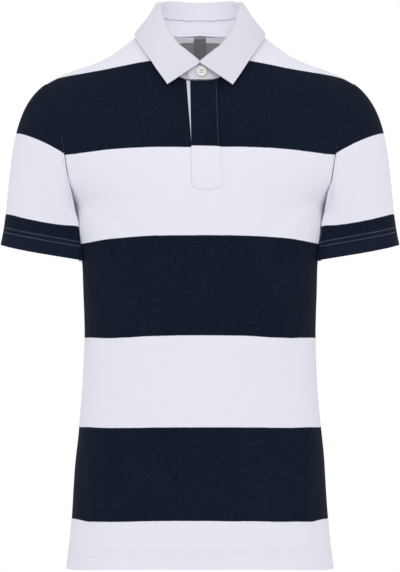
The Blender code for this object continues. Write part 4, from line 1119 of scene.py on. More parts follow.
NECK_STEPS = 240
TANGENT_STEPS = 3
STAND_END_DROP = 0.005  # how far the buttoned end's upper corner is rounded off, and its lower one
STAND_END_LIFT = 0.002
FALL_PULL = 0.3  # how the leaf hangs between the fold and its edge
FALL_SWELL = 0.03
FALL_END_PULL = 0.35
FALL_SPREAD = 0.8
NECK_LINE = evenly(half_neck(), NECK_STEPS)


def neck_frame(along):
    """The neck seam's point and its level outward direction; along is 0 in front, and 1 or -1 behind."""
    side = -1.0 if along < 0 else 1.0
    place = min(1.0, abs(along)) * NECK_STEPS
    i = min(NECK_STEPS - 1, int(place))
    point = NECK_LINE[i].lerp(NECK_LINE[i + 1], place - i)
    before, after = NECK_LINE[max(0, i - TANGENT_STEPS)], NECK_LINE[min(NECK_STEPS, i + 1 + TANGENT_STEPS)]
    tangent = Vector((after.x - before.x, after.y - before.y, 0.0)).normalized()
    outward = Vector((tangent.y, -tangent.x, 0.0))
    if abs(along) < 0.02:
        outward = Vector((0.0, -1.0, 0.0))
    return Vector((side * point.x, point.y, point.z)), Vector((side * outward.x, outward.y, 0.0))


stand_height = curve(COLLAR_SECTIONS, "along", "stand_height")
roll_height = curve(COLLAR_SECTIONS, "along", "roll_height")
lean_in = curve(COLLAR_SECTIONS, "along", "lean_in")
leaf_edge_x = curve(LEAF_EDGE, "along", "x")
leaf_edge_y = curve(LEAF_EDGE, "along", "y")
leaf_edge_z = curve(LEAF_EDGE, "along", "z")


def over_layer(along):
    """How far the stand is brought forward where its left end laps over the right one."""
    return STAND_OVERLAP * ease((OVERLAP_RUN - along) / OVERLAP_RUN)


def collar_point(along, rise, layer):
    """Outer face of the stand, or of the fold above it, at this height over the neck seam."""
    base, outward = neck_frame(along)
    lean = lean_in(abs(along)) * rise / roll_height(abs(along))
    return base + Vector((0.0, 0.0, rise)) - outward * lean + outward * layer


def along_at_x(x):
    """Where along the neck the front edge reaches x."""
    i = next(k for k in range(NECK_STEPS) if NECK_LINE[k + 1].x >= abs(x))
    span = NECK_LINE[i + 1].x - NECK_LINE[i].x
    return math.copysign((i + (abs(x) - NECK_LINE[i].x) / span) / NECK_STEPS, x)


COLLAR_STATIONS = closer(
    [along_at_x(LEAF_START_GAP)] + [k / COLLAR_SIDE_SECTIONS for k in range(1, COLLAR_SIDE_SECTIONS + 1)],
    FINE_COLLAR,
)


@functools.cache
def stand():
    """The stand's outer face, in one band round the neck."""
    under, over = along_at_x(STAND_UNDER_END), along_at_x(STAND_OVER_END)
    sections = [(under * (1 - k / UNDER_END_SECTIONS), 0.0) for k in range(UNDER_END_SECTIONS)]
    sections += [(-share, 0.0) for share in COLLAR_STATIONS]
    sections += [(share, over_layer(share)) for share in reversed(COLLAR_STATIONS[:-1])]
    sections += [(over * k / OVER_END_SECTIONS, STAND_OVERLAP) for k in range(1, OVER_END_SECTIONS + 1)]
    rows = []
    for k in range(STAND_ROWS + 1):
        row = []
        for along, layer in sections:
            top, foot = stand_height(abs(along)), STAND_LIFT
            if along < 0 and layer > 0:  # the buttoned end is rounded
                top -= STAND_END_DROP * ease((along / over - 0.45) / 0.55)
                foot += STAND_END_LIFT * max(0.0, (along / over - 0.85) / 0.15) ** 2
            row.append(collar_point(along, foot + (top - foot) * k / STAND_ROWS, layer))
        rows.append(list(reversed(row)))
    return Net(rows)


def leaf_section(along, layer):
    """The leaf's hidden face at one place: up from the stand, over the fold, and down to its edge."""
    _, outward = neck_frame(along)
    side = -1.0 if along < 0 else 1.0
    foot = stand_height(abs(along)) + SEAM_SHOWN
    top = max(roll_height(abs(along)) - FOLD_RADIUS, foot + 0.0008)
    inner = layer - COLLAR_CLOTH
    points = []
    for k in range(LEAF_STAND_ROWS + 1):
        points.append(collar_point(along, foot + (top - foot) * k / LEAF_STAND_ROWS, inner))
    centre = points[-1] + outward * FOLD_RADIUS
    away = abs(along)
    end = Vector((side * leaf_edge_x(away), leaf_edge_y(away) - layer, leaf_edge_z(away)))
    end = lift_off_body(end, LEAF_OVER_BODY)
    spread = math.atan2(outward.dot(end - centre), centre.z - end.z)
    last = math.pi - max(0.0, FALL_SPREAD * spread)
    for k in range(1, LEAF_FOLD_ROWS + 1):
        angle = last * k / LEAF_FOLD_ROWS
        swing = -outward * math.cos(angle) + Vector((0.0, 0.0, math.sin(angle)))
        points.append(centre + swing * FOLD_RADIUS)
    start = points[-1]
    span = (end - start).length
    near = start + (outward * math.sin(last) + Vector((0.0, 0.0, math.cos(last)))) * FALL_PULL * span
    straight = start.lerp(end, FALL_PULL) + outward * FALL_SWELL * span
    near = near.lerp(straight, ease(1 - away / FRONT_EDGE_RUN))
    far = end.lerp(start, FALL_END_PULL) + outward * FALL_SWELL * span
    for k in range(1, LEAF_FALL_ROWS + 1):
        points.append(lift_off_body(bezier(start, near, far, end, k / LEAF_FALL_ROWS), LEAF_OVER_BODY))
    return points


@functools.cache
def leaf():
    """The leaf's outer face, rows from the stand's seam up over the fold and down to the edge."""
    sections = [leaf_section(share, over_layer(share)) for share in COLLAR_STATIONS]
    sections += [leaf_section(-share, 0.0) for share in reversed(COLLAR_STATIONS[:-1])]
    for section, side in ((sections[0], 1.0), (sections[-1], -1.0)):
        for k, point in enumerate(section):
            section[k] = Vector((side * max(side * point.x, LEAF_START_GAP), point.y, point.z))
    sections.reverse()
    hidden = Net([[section[r] for section in sections] for r in range(len(sections[0]))])
    shown = hidden.shifted(np.full(hidden.points.shape[:2], COLLAR_CLOTH))
    soft = wander(shown.points) * np.clip(shown.up / 0.05, 0, 1)
    return shown.shifted(0.5 * soft)


# ---- placket ---------------------------------------------


@functools.cache
def placket_under():
    """The white strip's net, flush with the front in the slit."""
    front = panels()[2]
    net = front.part(slice(BOX_ROW, None), slice(SLIT_COLUMN, SLIT_END_COLUMN + 1))
    points = drawn_in(net.points, ("left", "right", "foot"), SEAM_GAP)
    made = net.with_points(drawn_in(points, ("top",), UNDER_TOP_DROP))
    made.normals = net.normals
    return made


@functools.cache
def placket_over():
    """The striped strip's net, lying on the front."""
    front = panels()[2]
    first_row, inner = BOX_ROW - FINE_HIGH_ROWS, SLIT_COLUMN + 2 * FINE_COLUMNS
    last = inner + 3 * FINE_COLUMNS
    neck_z = column_top(PLACKET_FREE_EDGE.top, False)
    points, normals, level = [], [], []
    for r in range(first_row, front.points.shape[0]):
        row = front.points[r]
        down = min(1.0, max(0.0, (neck_z - row[SLIT_COLUMN, 2]) / FAN_DROP))
        free_x = PLACKET_FREE_EDGE.top + (PLACKET_FREE_EDGE.foot - PLACKET_FREE_EDGE.top) * down
        near = [free_x + (row[inner, 0] - free_x) * k / FINE_COLUMNS for k in range(FINE_COLUMNS)]
        places = np.concatenate([near, row[inner : last + 1, 0]])
        points.append([np.interp(places, row[:, 0], row[:, k]) for k in range(3)])
        normals.append([np.interp(places, row[:, 0], front.normals[r][:, k]) for k in range(3)])
        level.append(np.interp(places, row[:, 0], front.level[r]))
    points = drawn_in(np.transpose(points, (0, 2, 1)), ("top",), PLACKET_TOP_DROP)
    normals = np.transpose(normals, (0, 2, 1))
    width = points.shape[1]
    across = np.linspace(0.0, 1.0, width)
    level = np.array(level) + PLACKET_LEVEL_SHIFT * (1 - np.clip((across - 0.5) / 0.5, 0, 1) ** 2)
    for c in range(width):
        inward = min(c, width - 1 - c) / FINE_COLUMNS
        raised = PLACKET_CORNER * (1 - min(1.0, inward)) ** 1.6
        stop = points[FINE_HIGH_ROWS, c].copy()
        start = points[0, c] + (stop - points[0, c]) * raised / np.linalg.norm(stop - points[0, c])
        for r in range(FINE_HIGH_ROWS):
            share = r / FINE_HIGH_ROWS
            points[r, c] = start * (1 - share) + stop * share
    made = Net(points, level=level)
    made.normals = normals / np.linalg.norm(normals, axis=2, keepdims=True)
    return made.shifted(LAID_ON_GAP + CLOTH - seam_dip(made, ("right", "foot"), 0.0003, 0.0020))


# ---- neck trims ------------------------------------------

# The tape's shown face, inwards of the stand's outer one by the stand, a gap and the tape itself.
TAPE_LAYER = -COLLAR_CLOTH - LAID_ON_GAP - THIN_SHARE * TAPE_CLOTH
LABEL_OFF_GAPS = 1.6


def inside_strip(columns, drops, inset):
    """A net on the inside of the back panel, between these columns and at these drops below the neck."""
    back = panels()[3]
    rows, normals = [], []
    for drop in drops:
        found = [back.at(back.row_at(c, drop, from_top=True), c) for c in columns]
        rows.append([point - normal * inset for point, normal in found])
        normals.append([-normal for _, normal in found])
    made = Net([list(reversed(row)) for row in rows])
    made.normals = np.array([list(reversed(row)) for row in normals])
    return made


@functools.cache
def tape_net():
    """The tape's shown face, on the inside of the stand's foot."""
    alongs = [1 - TAPE_REACH * (1 - k / TAPE_SECTIONS) for k in range(TAPE_SECTIONS + 1)]
    alongs = [-along for along in alongs] + alongs[-2::-1]
    feet = [TAPE_FOOT - TAPE_DIP * ((1 - abs(along)) / TAPE_REACH) ** 2 for along in alongs]
    rows = []
    for k in range(TAPE_ROWS + 1):
        rise = TAPE_WIDTH * k / TAPE_ROWS
        rows.append([collar_point(along, foot + rise, TAPE_LAYER) for along, foot in zip(alongs, feet)])
    return Net(rows)


@functools.cache
def label_net():
    """The label's shown face, which hangs inside the back from the tape's lower edge."""
    centre = panels()[3].points.shape[1] // 2
    shares = [k / LABEL_ROWS for k in range(LABEL_ROWS + 1)]
    drops = [LABEL_LENGTH * (1 - share) + LAID_ON_GAP * share for share in shares]
    inset = CLOTH + LABEL_OFF_GAPS * LAID_ON_GAP + TAPE_CLOTH
    columns = [centre + FINE_COLUMNS * (2 * k / LABEL_COLUMNS - 1) for k in range(LABEL_COLUMNS + 1)]
    hung = inside_strip(columns, drops, inset).points
    top = hung[-1]
    under_tape = collar_point(1.0, TAPE_FOOT - SEAM_GAP, TAPE_LAYER)
    rise = np.array([0.0, under_tape.y - top[:, 1].mean(), under_tape.z - top[:, 2].mean()])
    added = [top + rise * k / LABEL_TOP_ROWS for k in range(1, LABEL_TOP_ROWS + 1)]
    return Net(np.concatenate([hung, added]))


# ---- stitching -------------------------------------------


def resampled(path, pitch):
    """Points and normals at equal steps along a line of (point, normal) pairs."""
    points = np.array([point for point, _ in path])
    normals = np.array([normal for _, normal in path])
    lengths = np.concatenate([[0.0], np.cumsum(np.linalg.norm(np.diff(points, axis=0), axis=1))])
    places = np.arange(0.0, lengths[-1], pitch)
    found = [np.interp(places, lengths, points[:, k]) for k in range(3)]
    turned = [np.interp(places, lengths, normals[:, k]) for k in range(3)]
    return np.stack(found, axis=1), np.stack(turned, axis=1)


def thread_piece(name, points, faces, finish):
    """A piece of thread, which rides with the shirt and stands for no solid."""
    mesh = bpy.data.meshes.new(name)
    mesh.from_pydata([tuple(point) for point in points], [], faces)
    mesh.shade_smooth()
    mesh.materials.append(finish)
    piece = bpy.data.objects.new(name, mesh)
    bpy.context.scene.collection.objects.link(piece)
    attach(piece, "root")


def stitches(name, paths, finish, slot, width, pitch=STITCH_PITCH, length=STITCH_LENGTH):
    """Rows of sewn stitches, each a small bead of thread that dips into the cloth at both ends."""
    points, faces, sides = [], [], STITCH_SIDES
    for path in paths:
        places, normals = resampled(path, 0.5 * pitch)
        for k in range(1, len(places) - 1, 2):
            middle, up = places[k], normals[k] / np.linalg.norm(normals[k])
            along = places[k + 1] - places[k - 1]
            along = along / np.linalg.norm(along)
            aside = np.cross(up, along)
            start = len(points)
            for bead in BEADS:
                centre = middle + along * (bead.along * length) + up * (bead.rise * width)
                for s in range(sides):
                    angle = 2 * math.pi * s / sides
                    swing = aside * math.cos(angle) + up * math.sin(angle)
                    points.append(centre + swing * (0.5 * width * bead.girth))
            for ring in range(len(BEADS) - 1):
                low = start + ring * sides
                for s in range(sides):
                    after = (s + 1) % sides
                    faces.append((low + s, low + sides + s, low + sides + after, low + after))
            faces.append(tuple(start + s for s in range(sides)))
            faces.append(tuple(len(points) - 1 - s for s in range(sides)))
    thread_piece(name, points, faces, finish)


def strands(name, paths, finish):
    """Round threads along lines of points, closed at their ends."""
    points, faces, sides = [], [], STRAND_SIDES
    for path in paths:
        start = len(points)
        for k, centre in enumerate(path):
            along = (path[min(k + 1, len(path) - 1)] - path[max(k - 1, 0)]).normalized()
            aside = along.orthogonal().normalized()
            other = along.cross(aside)
            for s in range(sides):
                angle = 2 * math.pi * s / sides
                points.append(centre + (aside * math.cos(angle) + other * math.sin(angle)) * STRAND_RADIUS)
        for k in range(len(path) - 1):
            low = start + k * sides
            for s in range(sides):
                after = (s + 1) % sides
                faces.append((low + s, low + after, low + sides + after, low + sides + s))
        faces.append(tuple(start + sides - 1 - s for s in range(sides)))
        faces.append(tuple(len(points) - sides + s for s in range(sides)))
    thread_piece(name, points, faces, finish)


def line_across(net, rise, from_top=False, first=0, last=None):
    """A line so many metres up from the net's foot, or down from its top."""
    last = net.points.shape[1] - (0 if net.closed else 1) if last is None else last
    return [net.at(net.row_at(c, rise, from_top), c) for c in range(first, last + 1)]


def line_up(net, inset, from_right, first, last):
    """A line so many metres in from the net's side, between two of its rows."""
    count = max(2, int(last - first))
    rows = [first + (last - first) * k / count for k in range(count + 1)]
    return [net.at(r, net.column_at(r, inset, from_right)) for r in rows]


def stitch_hems(white, cuff, width):
    """Two rows round the body's hem, and two round each sleeve's."""
    hem = [line_across(net, rise) for net in panels()[2:] for rise in HEM_STITCH_RISES]
    stitches("hem_stitching", hem, white, "white_twill", width)
    for name, mirror in (("sleeve_stitching_left", False), ("sleeve_stitching_right", True)):
        rows = [line_across(sleeve(mirror), rise) for rise in HEM_STITCH_RISES]
        stitches(name, rows, cuff, "white_twill", width)


def stitch_placket(white, dark, width, stripe_foot):
    """The placket's sewn edge, dark above the white stripe, and its box and free edge in white."""
    over = placket_over()
    rows, last = over.points.shape[0] - 1, over.points.shape[1] - 1
    box, width = float(FINE_HIGH_ROWS), width * PLACKET_THREAD
    foot_z = stripe_foot + 0.001
    change = float(next(r for r in range(rows) if over.points[r, last, 2] > foot_z))
    paths = [line_up(over, PLACKET_STITCH_INSET, True, change, rows)]
    stitches("placket_stitching", paths, dark, "white_twill", width)
    paths = [line_up(over, PLACKET_STITCH_INSET, True, 1.0, change - 0.5)]
    paths.append([over.at(box, c) for c in range(1, last)])
    paths.append([over.at(over.row_at(c, BOX_STITCH_INSET), c) for c in range(2, last - 1)])
    paths.append(line_up(over, BOX_STITCH_INSET, False, 1.2, box))
    stitches("placket_box_stitching", paths, white, "white_twill", width)


def stitch_collar(white, width):
    """A row along the stand's foot, one round the leaf's free edges and one along the leaf's seam."""
    band, turned = stand(), leaf()
    make = (white, "white_twill", width * COLLAR_THREAD, COLLAR_STITCH_PITCH, COLLAR_STITCH_LENGTH)
    paths = [line_across(band, SEAM_STITCH_INSET, False, 1, band.points.shape[1] - 2)]
    stitches("stand_stitching", paths, *make)
    low = turned.row_at(0, EDGE_STITCH_INSET, True)
    paths = [line_across(turned, EDGE_STITCH_INSET, True, 2, turned.points.shape[1] - 3)]
    for from_right in (False, True):
        paths.append(line_up(turned, EDGE_STITCH_INSET, from_right, LEAF_STITCH_ROW, low))
    paths.append(line_across(turned, SEAM_STITCH_INSET, False, 6, turned.points.shape[1] - 7))
    stitches("collar_stitching", paths, *make)


def stitch_tape(white, width):
    """A row along each of the tape's edges."""
    tape = tape_net()
    paths = [line_across(tape, rise, False, 1, tape.points.shape[1] - 2) for rise in TAPE_STITCH_RISES]
    make = (white, "white_twill", width * PLACKET_THREAD, COLLAR_STITCH_PITCH, COLLAR_STITCH_LENGTH)
    stitches("tape_stitching", paths, *make)


# ---- button ----------------------------------------------


def button_place():
    """Where the button sits on the stand's lapped end, lying flat on it."""
    along = along_at_x(BUTTON_X)
    seat = collar_point(along, BUTTON_HEIGHT, STAND_OVERLAP)
    above = collar_point(along, BUTTON_HEIGHT + 0.005, STAND_OVERLAP)
    axis = Vector((1.0, 0.0, 0.0)).cross(above - seat).normalized()
    turned = Vector((0.0, 0.0, 1.0)).rotation_difference(axis).to_matrix().to_4x4()
    return Matrix.Translation(seat + axis * LAID_ON_GAP) @ turned


def button_holes():
    """The centres of the four holes, one after another round the button."""
    reach = HOLE_SPACING / math.sqrt(2)
    angles = [math.pi * (0.25 + 0.5 * k) for k in range(4)]
    return [(reach * math.cos(angle), reach * math.sin(angle)) for angle in angles]


def turned_button(radius):
    """Points and faces of the button's profile turned round its axis, before the holes are drilled."""
    sides, points, faces = BUTTON_SIDES, [], []
    for share, rise in BUTTON_PROFILE:
        z = rise * BUTTON_THICKNESS
        for k in range(1 if share == 0 else sides):
            angle = 2 * math.pi * k / sides
            points.append((share * radius * math.cos(angle), share * radius * math.sin(angle), z))
    rings = len(BUTTON_PROFILE) - 2
    for k in range(sides):
        after = (k + 1) % sides
        faces.append((0, 1 + after, 1 + k))
        for ring in range(rings - 1):
            low = 1 + ring * sides
            faces.append((low + k, low + after, low + sides + after, low + sides + k))
        top = 1 + (rings - 1) * sides
        faces.append((top + k, top + after, len(points) - 1))
    return points, faces


def drill_holes(button):
    """Cut the four holes through the button and keep its edges crisp."""
    context, drills = bpy.context, []
    for k, (x, y) in enumerate(button_holes()):
        bpy.ops.mesh.primitive_cylinder_add(
            vertices=HOLE_SIDES,
            radius=HOLE_RADIUS,
            depth=4 * BUTTON_THICKNESS,
            location=(x, y, 0.5 * BUTTON_THICKNESS),
        )
        drills.append(context.object)
        cut = button.modifiers.new(f"hole_{k}", "BOOLEAN")
        cut.operation, cut.object = "DIFFERENCE", drills[-1]
    context.view_layer.update()
    drilled = bpy.data.meshes.new_from_object(button.evaluated_get(context.evaluated_depsgraph_get()))
    button.modifiers.clear()
    button.data = drilled
    for drill in drills:
        bpy.data.objects.remove(drill)
    drilled.shade_smooth()
    drilled.set_sharp_from_angle(angle=math.radians(48))


def strand_paths(place):
    """Two strands of thread from hole to hole, for each pair of holes."""
    holes, paths = button_holes(), []
    for first, second in ((0, 1), (3, 2)):
        a, b = Vector((*holes[first], 0.0)), Vector((*holes[second], 0.0))
        for aside in (-STRAND_ASIDE, STRAND_ASIDE):
            across = (b - a).normalized().cross(Vector((0.0, 0.0, 1.0))) * aside
            line = []
            for k in range(STRAND_STEPS + 1):
                t = k / STRAND_STEPS
                dip = STRAND_DIP if k in (0, STRAND_STEPS) else 0.0
                rise = BUTTON_THICKNESS * (0.62 + 0.16 * math.sin(math.pi * t)) - dip
                line.append(place @ (a.lerp(b, t) + across + Vector((0.0, 0.0, rise))))
            paths.append(line)
    return paths


# ---- materials -------------------------------------------


class Wire:
    """A shader socket in an expression: sums, differences, products and shares of wires make Math nodes."""

    def __init__(self, graph, socket):
        self.graph, self.socket = graph, socket

    def math(self, operation, *others, clamp=False):
        """A Math node of this wire and the others."""
        values = [self, *others]
        return self.graph.node("Math", {"operation": operation, "use_clamp": clamp}, dict(enumerate(values)))

    def __add__(self, other):
        return self.math("ADD", other)

    __radd__ = __add__

    def __mul__(self, other):
        return self.math("MULTIPLY", other)

    __rmul__ = __mul__

    def __sub__(self, other):
        return self.math("SUBTRACT", other)

    def __rsub__(self, other):
        return (self * -1.0) + other

    def __truediv__(self, other):
        return self.math("DIVIDE", other)

    def sine(self):
        return self.math("SINE")

    def size(self):
        return self.math("ABSOLUTE")

    def clamped(self):
        return self.math("ADD", 0.0, clamp=True)

    def step(self, edge, softness):
        """0 below the edge and 1 above it, over so much."""
        return ((self - (edge - 0.5 * softness)) / softness).clamped()


class Graph:
    """The nodes of one material, made by their type."""

    def __init__(self, name):
        self.material = bpy.data.materials.new(name)
        self.material.use_nodes = True
        self.tree = self.material.node_tree
        self.shader = self.tree.nodes["Principled BSDF"]

    def node(self, kind, settings=None, inputs=None, output=0):
        """A node of this type: its settings first, then its sockets' values or links. Returns one output."""
        made = self.tree.nodes.new("ShaderNode" + kind)
        for title, value in (settings or {}).items():
            setattr(made, title, value)
        for title, value in (inputs or {}).items():
            self.plug(made.inputs[title], value)
        return Wire(self, made.outputs[output])

    def plug(self, socket, value):
        """Link a wire to a socket, or set the socket's value."""
        if isinstance(value, Wire):
            self.tree.links.new(value.socket, socket)
        else:
            socket.default_value = value

    def set(self, **values):
        """Sockets of the main shader, by name with _ for a space."""
        for title, value in values.items():
            self.plug(self.shader.inputs[title.replace("_", " ")], value)
        return self.material

    def attribute(self, name):
        return self.node("Attribute", {"attribute_name": name}, output="Fac")

    def across_and_up(self):
        """Metres across and up the cloth."""
        uv = self.node("UVMap", {"uv_map": "cloth"})
        across = self.node("SeparateXYZ", {}, {0: uv})
        return across, Wire(self, across.socket.node.outputs["Y"])

    def mottle(self, vector, scale, detail=2.0, roughness=0.5):
        """Soft noise from 0 to 1."""
        settings = {"noise_dimensions": "3D"}
        inputs = {"Vector": vector, "Scale": scale, "Detail": detail, "Roughness": roughness}
        return self.node("TexNoise", settings, inputs, output="Fac")

    def mix(self, share, low, high):
        """A colour between two."""
        return self.node("Mix", {"data_type": "RGBA"}, {"Factor": share, 6: low, 7: high}, output=2)

    def bump(self, height, distance, strength, under=None):
        """A normal from a height, on top of another bump where there is one."""
        inputs = {"Strength": strength, "Distance": distance, "Height": height}
        if under is not None:
            inputs["Normal"] = under
        return self.node("Bump", {}, inputs)


def rgba(colour, gain):
    """A colour made paler or darker, as a socket takes it."""
    return tuple(gain * value for value in colour) + (1.0,)


def knit(across, up, wale, course):
    """Height of jersey's loops: rows of small V shapes."""
    column = across * (2 * math.pi / wale)
    rib = 1.0 - (across * (math.pi / wale)).sine().size()
    loops = (up * (2 * math.pi / course) + column.math("COSINE") * 1.9).sine()
    return rib * 0.6 + loops * 0.4


STRIPE_RAGGED = 0.0009  # how far the stripes' edges stray from stitch to stitch, and over some centimetres
STRIPE_WAVER = 0.0016
STRIPE_SOFTNESS = 0.0008
LABEL_RIB_PITCH = 0.00045
LABEL_WARP_PITCH = 0.0003
LABEL_EDGE = 0.0070


@functools.cache
def jersey():
    """Cotton jersey in wide navy and white stripes; the inside of the navy is painted mid grey, standing for
    shade inside the shirt.
    """
    scene = bpy.context.scene
    cloth, stripes = scene.polo_cloth, scene.polo_stripes
    graph = Graph("striped_jersey")
    across, up = graph.across_and_up()
    place = graph.node("TexCoord", {}, output="Object")
    ragged = graph.mottle(place, 900.0, 1.0)
    slow = graph.mottle(place, 22.0, 2.0)
    level = graph.attribute("level") + (ragged - 0.5) * STRIPE_RAGGED + (slow - 0.5) * STRIPE_WAVER
    edges = (
        (stripes.first_foot, stripes.first_top),
        (stripes.second_foot, stripes.second_top),
        (stripes.third_foot, stripes.third_top),
    )
    navy = 0.0
    for foot, top in edges:
        navy = level.step(foot, STRIPE_SOFTNESS) * (1.0 - level.step(top, STRIPE_SOFTNESS)) + navy
    inside = graph.attribute("inside").step(0.93, 0.1)

    mottled = graph.mottle(place, 320.0, 3.0, 0.65)
    cloudy = graph.mottle(place, 14.0, 2.0)
    drawn = graph.node("CombineXYZ", {}, {0: across * 0.22, 1: up, 2: 0.0})
    streaks = graph.mottle(drawn, 520.0, 3.0, 0.7)
    tone = (mottled - 0.5) * 0.5 + (cloudy - 0.5) * 0.25
    # Partly painted sheen: the navy is made lighter along the doubled hem band, both for the heavier cloth
    # there and for the sheen the cuffs catch.
    doubled = 1.0 - up.step(HEM_DEPTH + 0.0008, 0.0006)
    mixed = (tone + (streaks - 0.5) * 1.3 + doubled * 0.18 + 0.44).clamped()
    dark = graph.mix(mixed, rgba(cloth.navy, 0.50), rgba(cloth.navy, 2.10))
    # Painted shade: the navy's inside faces get a mid grey that stands for the shade seen inside the back,
    # not the knit's own reverse.
    reverse = graph.mix((tone + 0.5).clamped(), rgba(cloth.inside, 0.85), rgba(cloth.inside, 1.12))
    pale = graph.mix((tone * 0.5 + 0.5).clamped(), rgba(cloth.white, 0.975), rgba(cloth.white, 1.02))
    shown = graph.mix(inside, dark, reverse)
    colour = graph.mix(navy, pale, shown)

    loops = knit(across, up, cloth.wale_pitch, cloth.wale_pitch * 0.8)
    fuzz = graph.mottle(place, 1500.0, 2.0)
    normal = graph.bump(loops + fuzz * 0.5, 0.00010, 0.55)
    normal = graph.bump(cloudy + graph.mottle(place, 60.0, 2.0) * 0.35, 0.0012, 0.20, normal)
    return graph.set(
        Base_Color=colour,
        Roughness=0.86 + (mottled - 0.5) * 0.12,
        Specular_IOR_Level=0.04,
        Sheen_Weight=0.01,
        Sheen_Roughness=0.45,
        Normal=normal,
    )


@functools.cache
def twill():
    """White cotton twill of the collar and the strip under the placket, with its fine slanting ribs."""
    cloth = bpy.context.scene.polo_cloth
    graph = Graph("white_twill")
    across, up = graph.across_and_up()
    place = graph.node("TexCoord", {}, output="Object")
    ribs = ((across + up) * (2 * math.pi / cloth.twill_pitch)).sine()
    threads = (across * (2 * math.pi / (0.6 * cloth.twill_pitch))).sine() * 0.35
    fuzz = graph.mottle(place, 1300.0, 2.0)
    cloudy = graph.mottle(place, 26.0, 2.0)
    tone = (fuzz - 0.5) * 0.5 + (cloudy - 0.5) * 0.4 + ribs * 0.12
    colour = graph.mix((tone + 0.5).clamped(), rgba(cloth.collar, 0.965), rgba(cloth.collar, 1.025))
    normal = graph.bump(ribs + threads + fuzz * 0.6, 0.00006, 0.6)
    normal = graph.bump(cloudy, 0.0010, 0.25, normal)
    return graph.set(
        Base_Color=colour,
        Roughness=0.82 + (fuzz - 0.5) * 0.10,
        Specular_IOR_Level=0.08,
        Sheen_Weight=0.03,
        Sheen_Roughness=0.4,
        Normal=normal,
    )


@functools.cache
def label_cloth():
    """Plain grey woven label, with fine cross ribs and two heat-cut edges a little darker."""
    trim = bpy.context.scene.polo_trim
    graph = Graph("grey_label")
    across, up = graph.across_and_up()
    place = graph.node("TexCoord", {}, output="Object")
    ribs = (up * (2 * math.pi / LABEL_RIB_PITCH)).sine()
    warp = (across * (2 * math.pi / LABEL_WARP_PITCH)).sine()
    edge = across.size().step(LABEL_EDGE, 0.0008)
    fuzz = graph.mottle(place, 1100.0, 2.0)
    tone = (fuzz - 0.5) * 0.6 + ribs * 0.14 + 0.5 - edge * 0.3
    colour = graph.mix(tone.clamped(), rgba(trim.label, 0.75), rgba(trim.label, 1.3))
    normal = graph.bump(ribs + warp * 0.6, 0.00005, 0.6)
    return graph.set(Base_Color=colour, Roughness=0.55 + (fuzz - 0.5) * 0.15, Normal=normal)


@functools.cache
def thread(name, colour):
    """Spun thread, twisted, a little lighter along its ply."""
    graph = Graph(name)
    place = graph.node("TexCoord", {}, output="Object")
    ply = graph.mottle(place, 2600.0, 1.0)
    tone = graph.mix(ply, rgba(colour, 0.82), rgba(colour, 1.08))
    normal = graph.bump(ply, 0.00008, 0.5)
    return graph.set(Base_Color=tone, Roughness=0.6 + (ply - 0.5) * 0.2, Normal=normal)


@functools.cache
def button_shell():
    """Off-white moulded shell with a faint cloudy grain and a polished coat."""
    trim = bpy.context.scene.polo_trim
    graph = Graph("button_shell")
    place = graph.node("TexCoord", {}, output="Object")
    swirl = graph.node(
        "TexWave",
        {"wave_type": "RINGS", "bands_direction": "X"},
        {"Vector": place, "Scale": 160.0, "Distortion": 9.0, "Detail": 3.0},
        output="Fac",
    )
    cloudy = graph.mottle(place, 420.0, 3.0)
    tone = (swirl * 0.5 + cloudy * 0.5).clamped()
    colour = graph.mix(tone, rgba(trim.button, 0.90), rgba(trim.button, 1.06))
    normal = graph.bump(graph.mottle(place, 900.0, 2.0), 0.00003, 0.4)
    return graph.set(
        Base_Color=colour,
        Roughness=0.26 + (cloudy - 0.5) * 0.12,
        Coat_Weight=0.35,
        Coat_Roughness=0.12,
        Normal=normal,
    )


# ---- what a user would change ----------------------------


def colour_property(name, description, default):
    """A colour that a user can set."""
    return FloatVectorProperty(
        name=name, description=description, default=default, size=3, subtype="COLOR", min=0, max=1
    )


def length_property(name, description, default, low=-1.0):
    """A length or height in metres."""
    return FloatProperty(
        name=name, description=description, default=default, min=low, unit="LENGTH", precision=4
    )


def power_property(name, description, default):
    """A lamp's power in watts."""
    return FloatProperty(name=name, description=description, default=default, min=0, unit="POWER")


class PoloCloth(bpy.types.PropertyGroup):
    """Colours and pitch of the shirt's cloths."""

    navy: colour_property("Navy", "Dark stripes of the jersey", (0.0056, 0.0095, 0.0195))
    white: colour_property("White", "Pale stripes of the jersey", (0.825, 0.830, 0.915))
    # Painted shade: a mid grey on the inside of the navy that stands for the shade seen inside the back of
    # the shirt.
    inside: colour_property("Inside of the navy", "The dark stripes seen from inside", (0.30, 0.30, 0.305))
    collar: colour_property("Collar", "White twill of the collar", (0.765, 0.760, 0.840))
    wale_pitch: length_property("Wale pitch", "Distance from one rib of the knit to the next", 0.0011, 0.0003)
    twill_pitch: length_property(
        "Twill pitch", "Distance from one slanting rib of the twill to the next", 0.0009, 0.0003
    )


class PoloStripes(bpy.types.PropertyGroup):
    """Heights at which the stripes start and end."""

    first_foot: length_property("First stripe's foot", "Height of its lower edge", STRIPES[0].foot)
    first_top: length_property(
        "First stripe's top", "Height of its upper edge at the centre front", STRIPES[0].top
    )
    second_foot: length_property("Second stripe's foot", "Height of its lower edge", STRIPES[1].foot)
    second_top: length_property("Second stripe's top", "Height of its upper edge", STRIPES[1].top)
    third_foot: length_property("Third stripe's foot", "Height of its lower edge", STRIPES[2].foot)
    third_top: length_property("Third stripe's top", "Height of its upper edge", STRIPES[2].top)


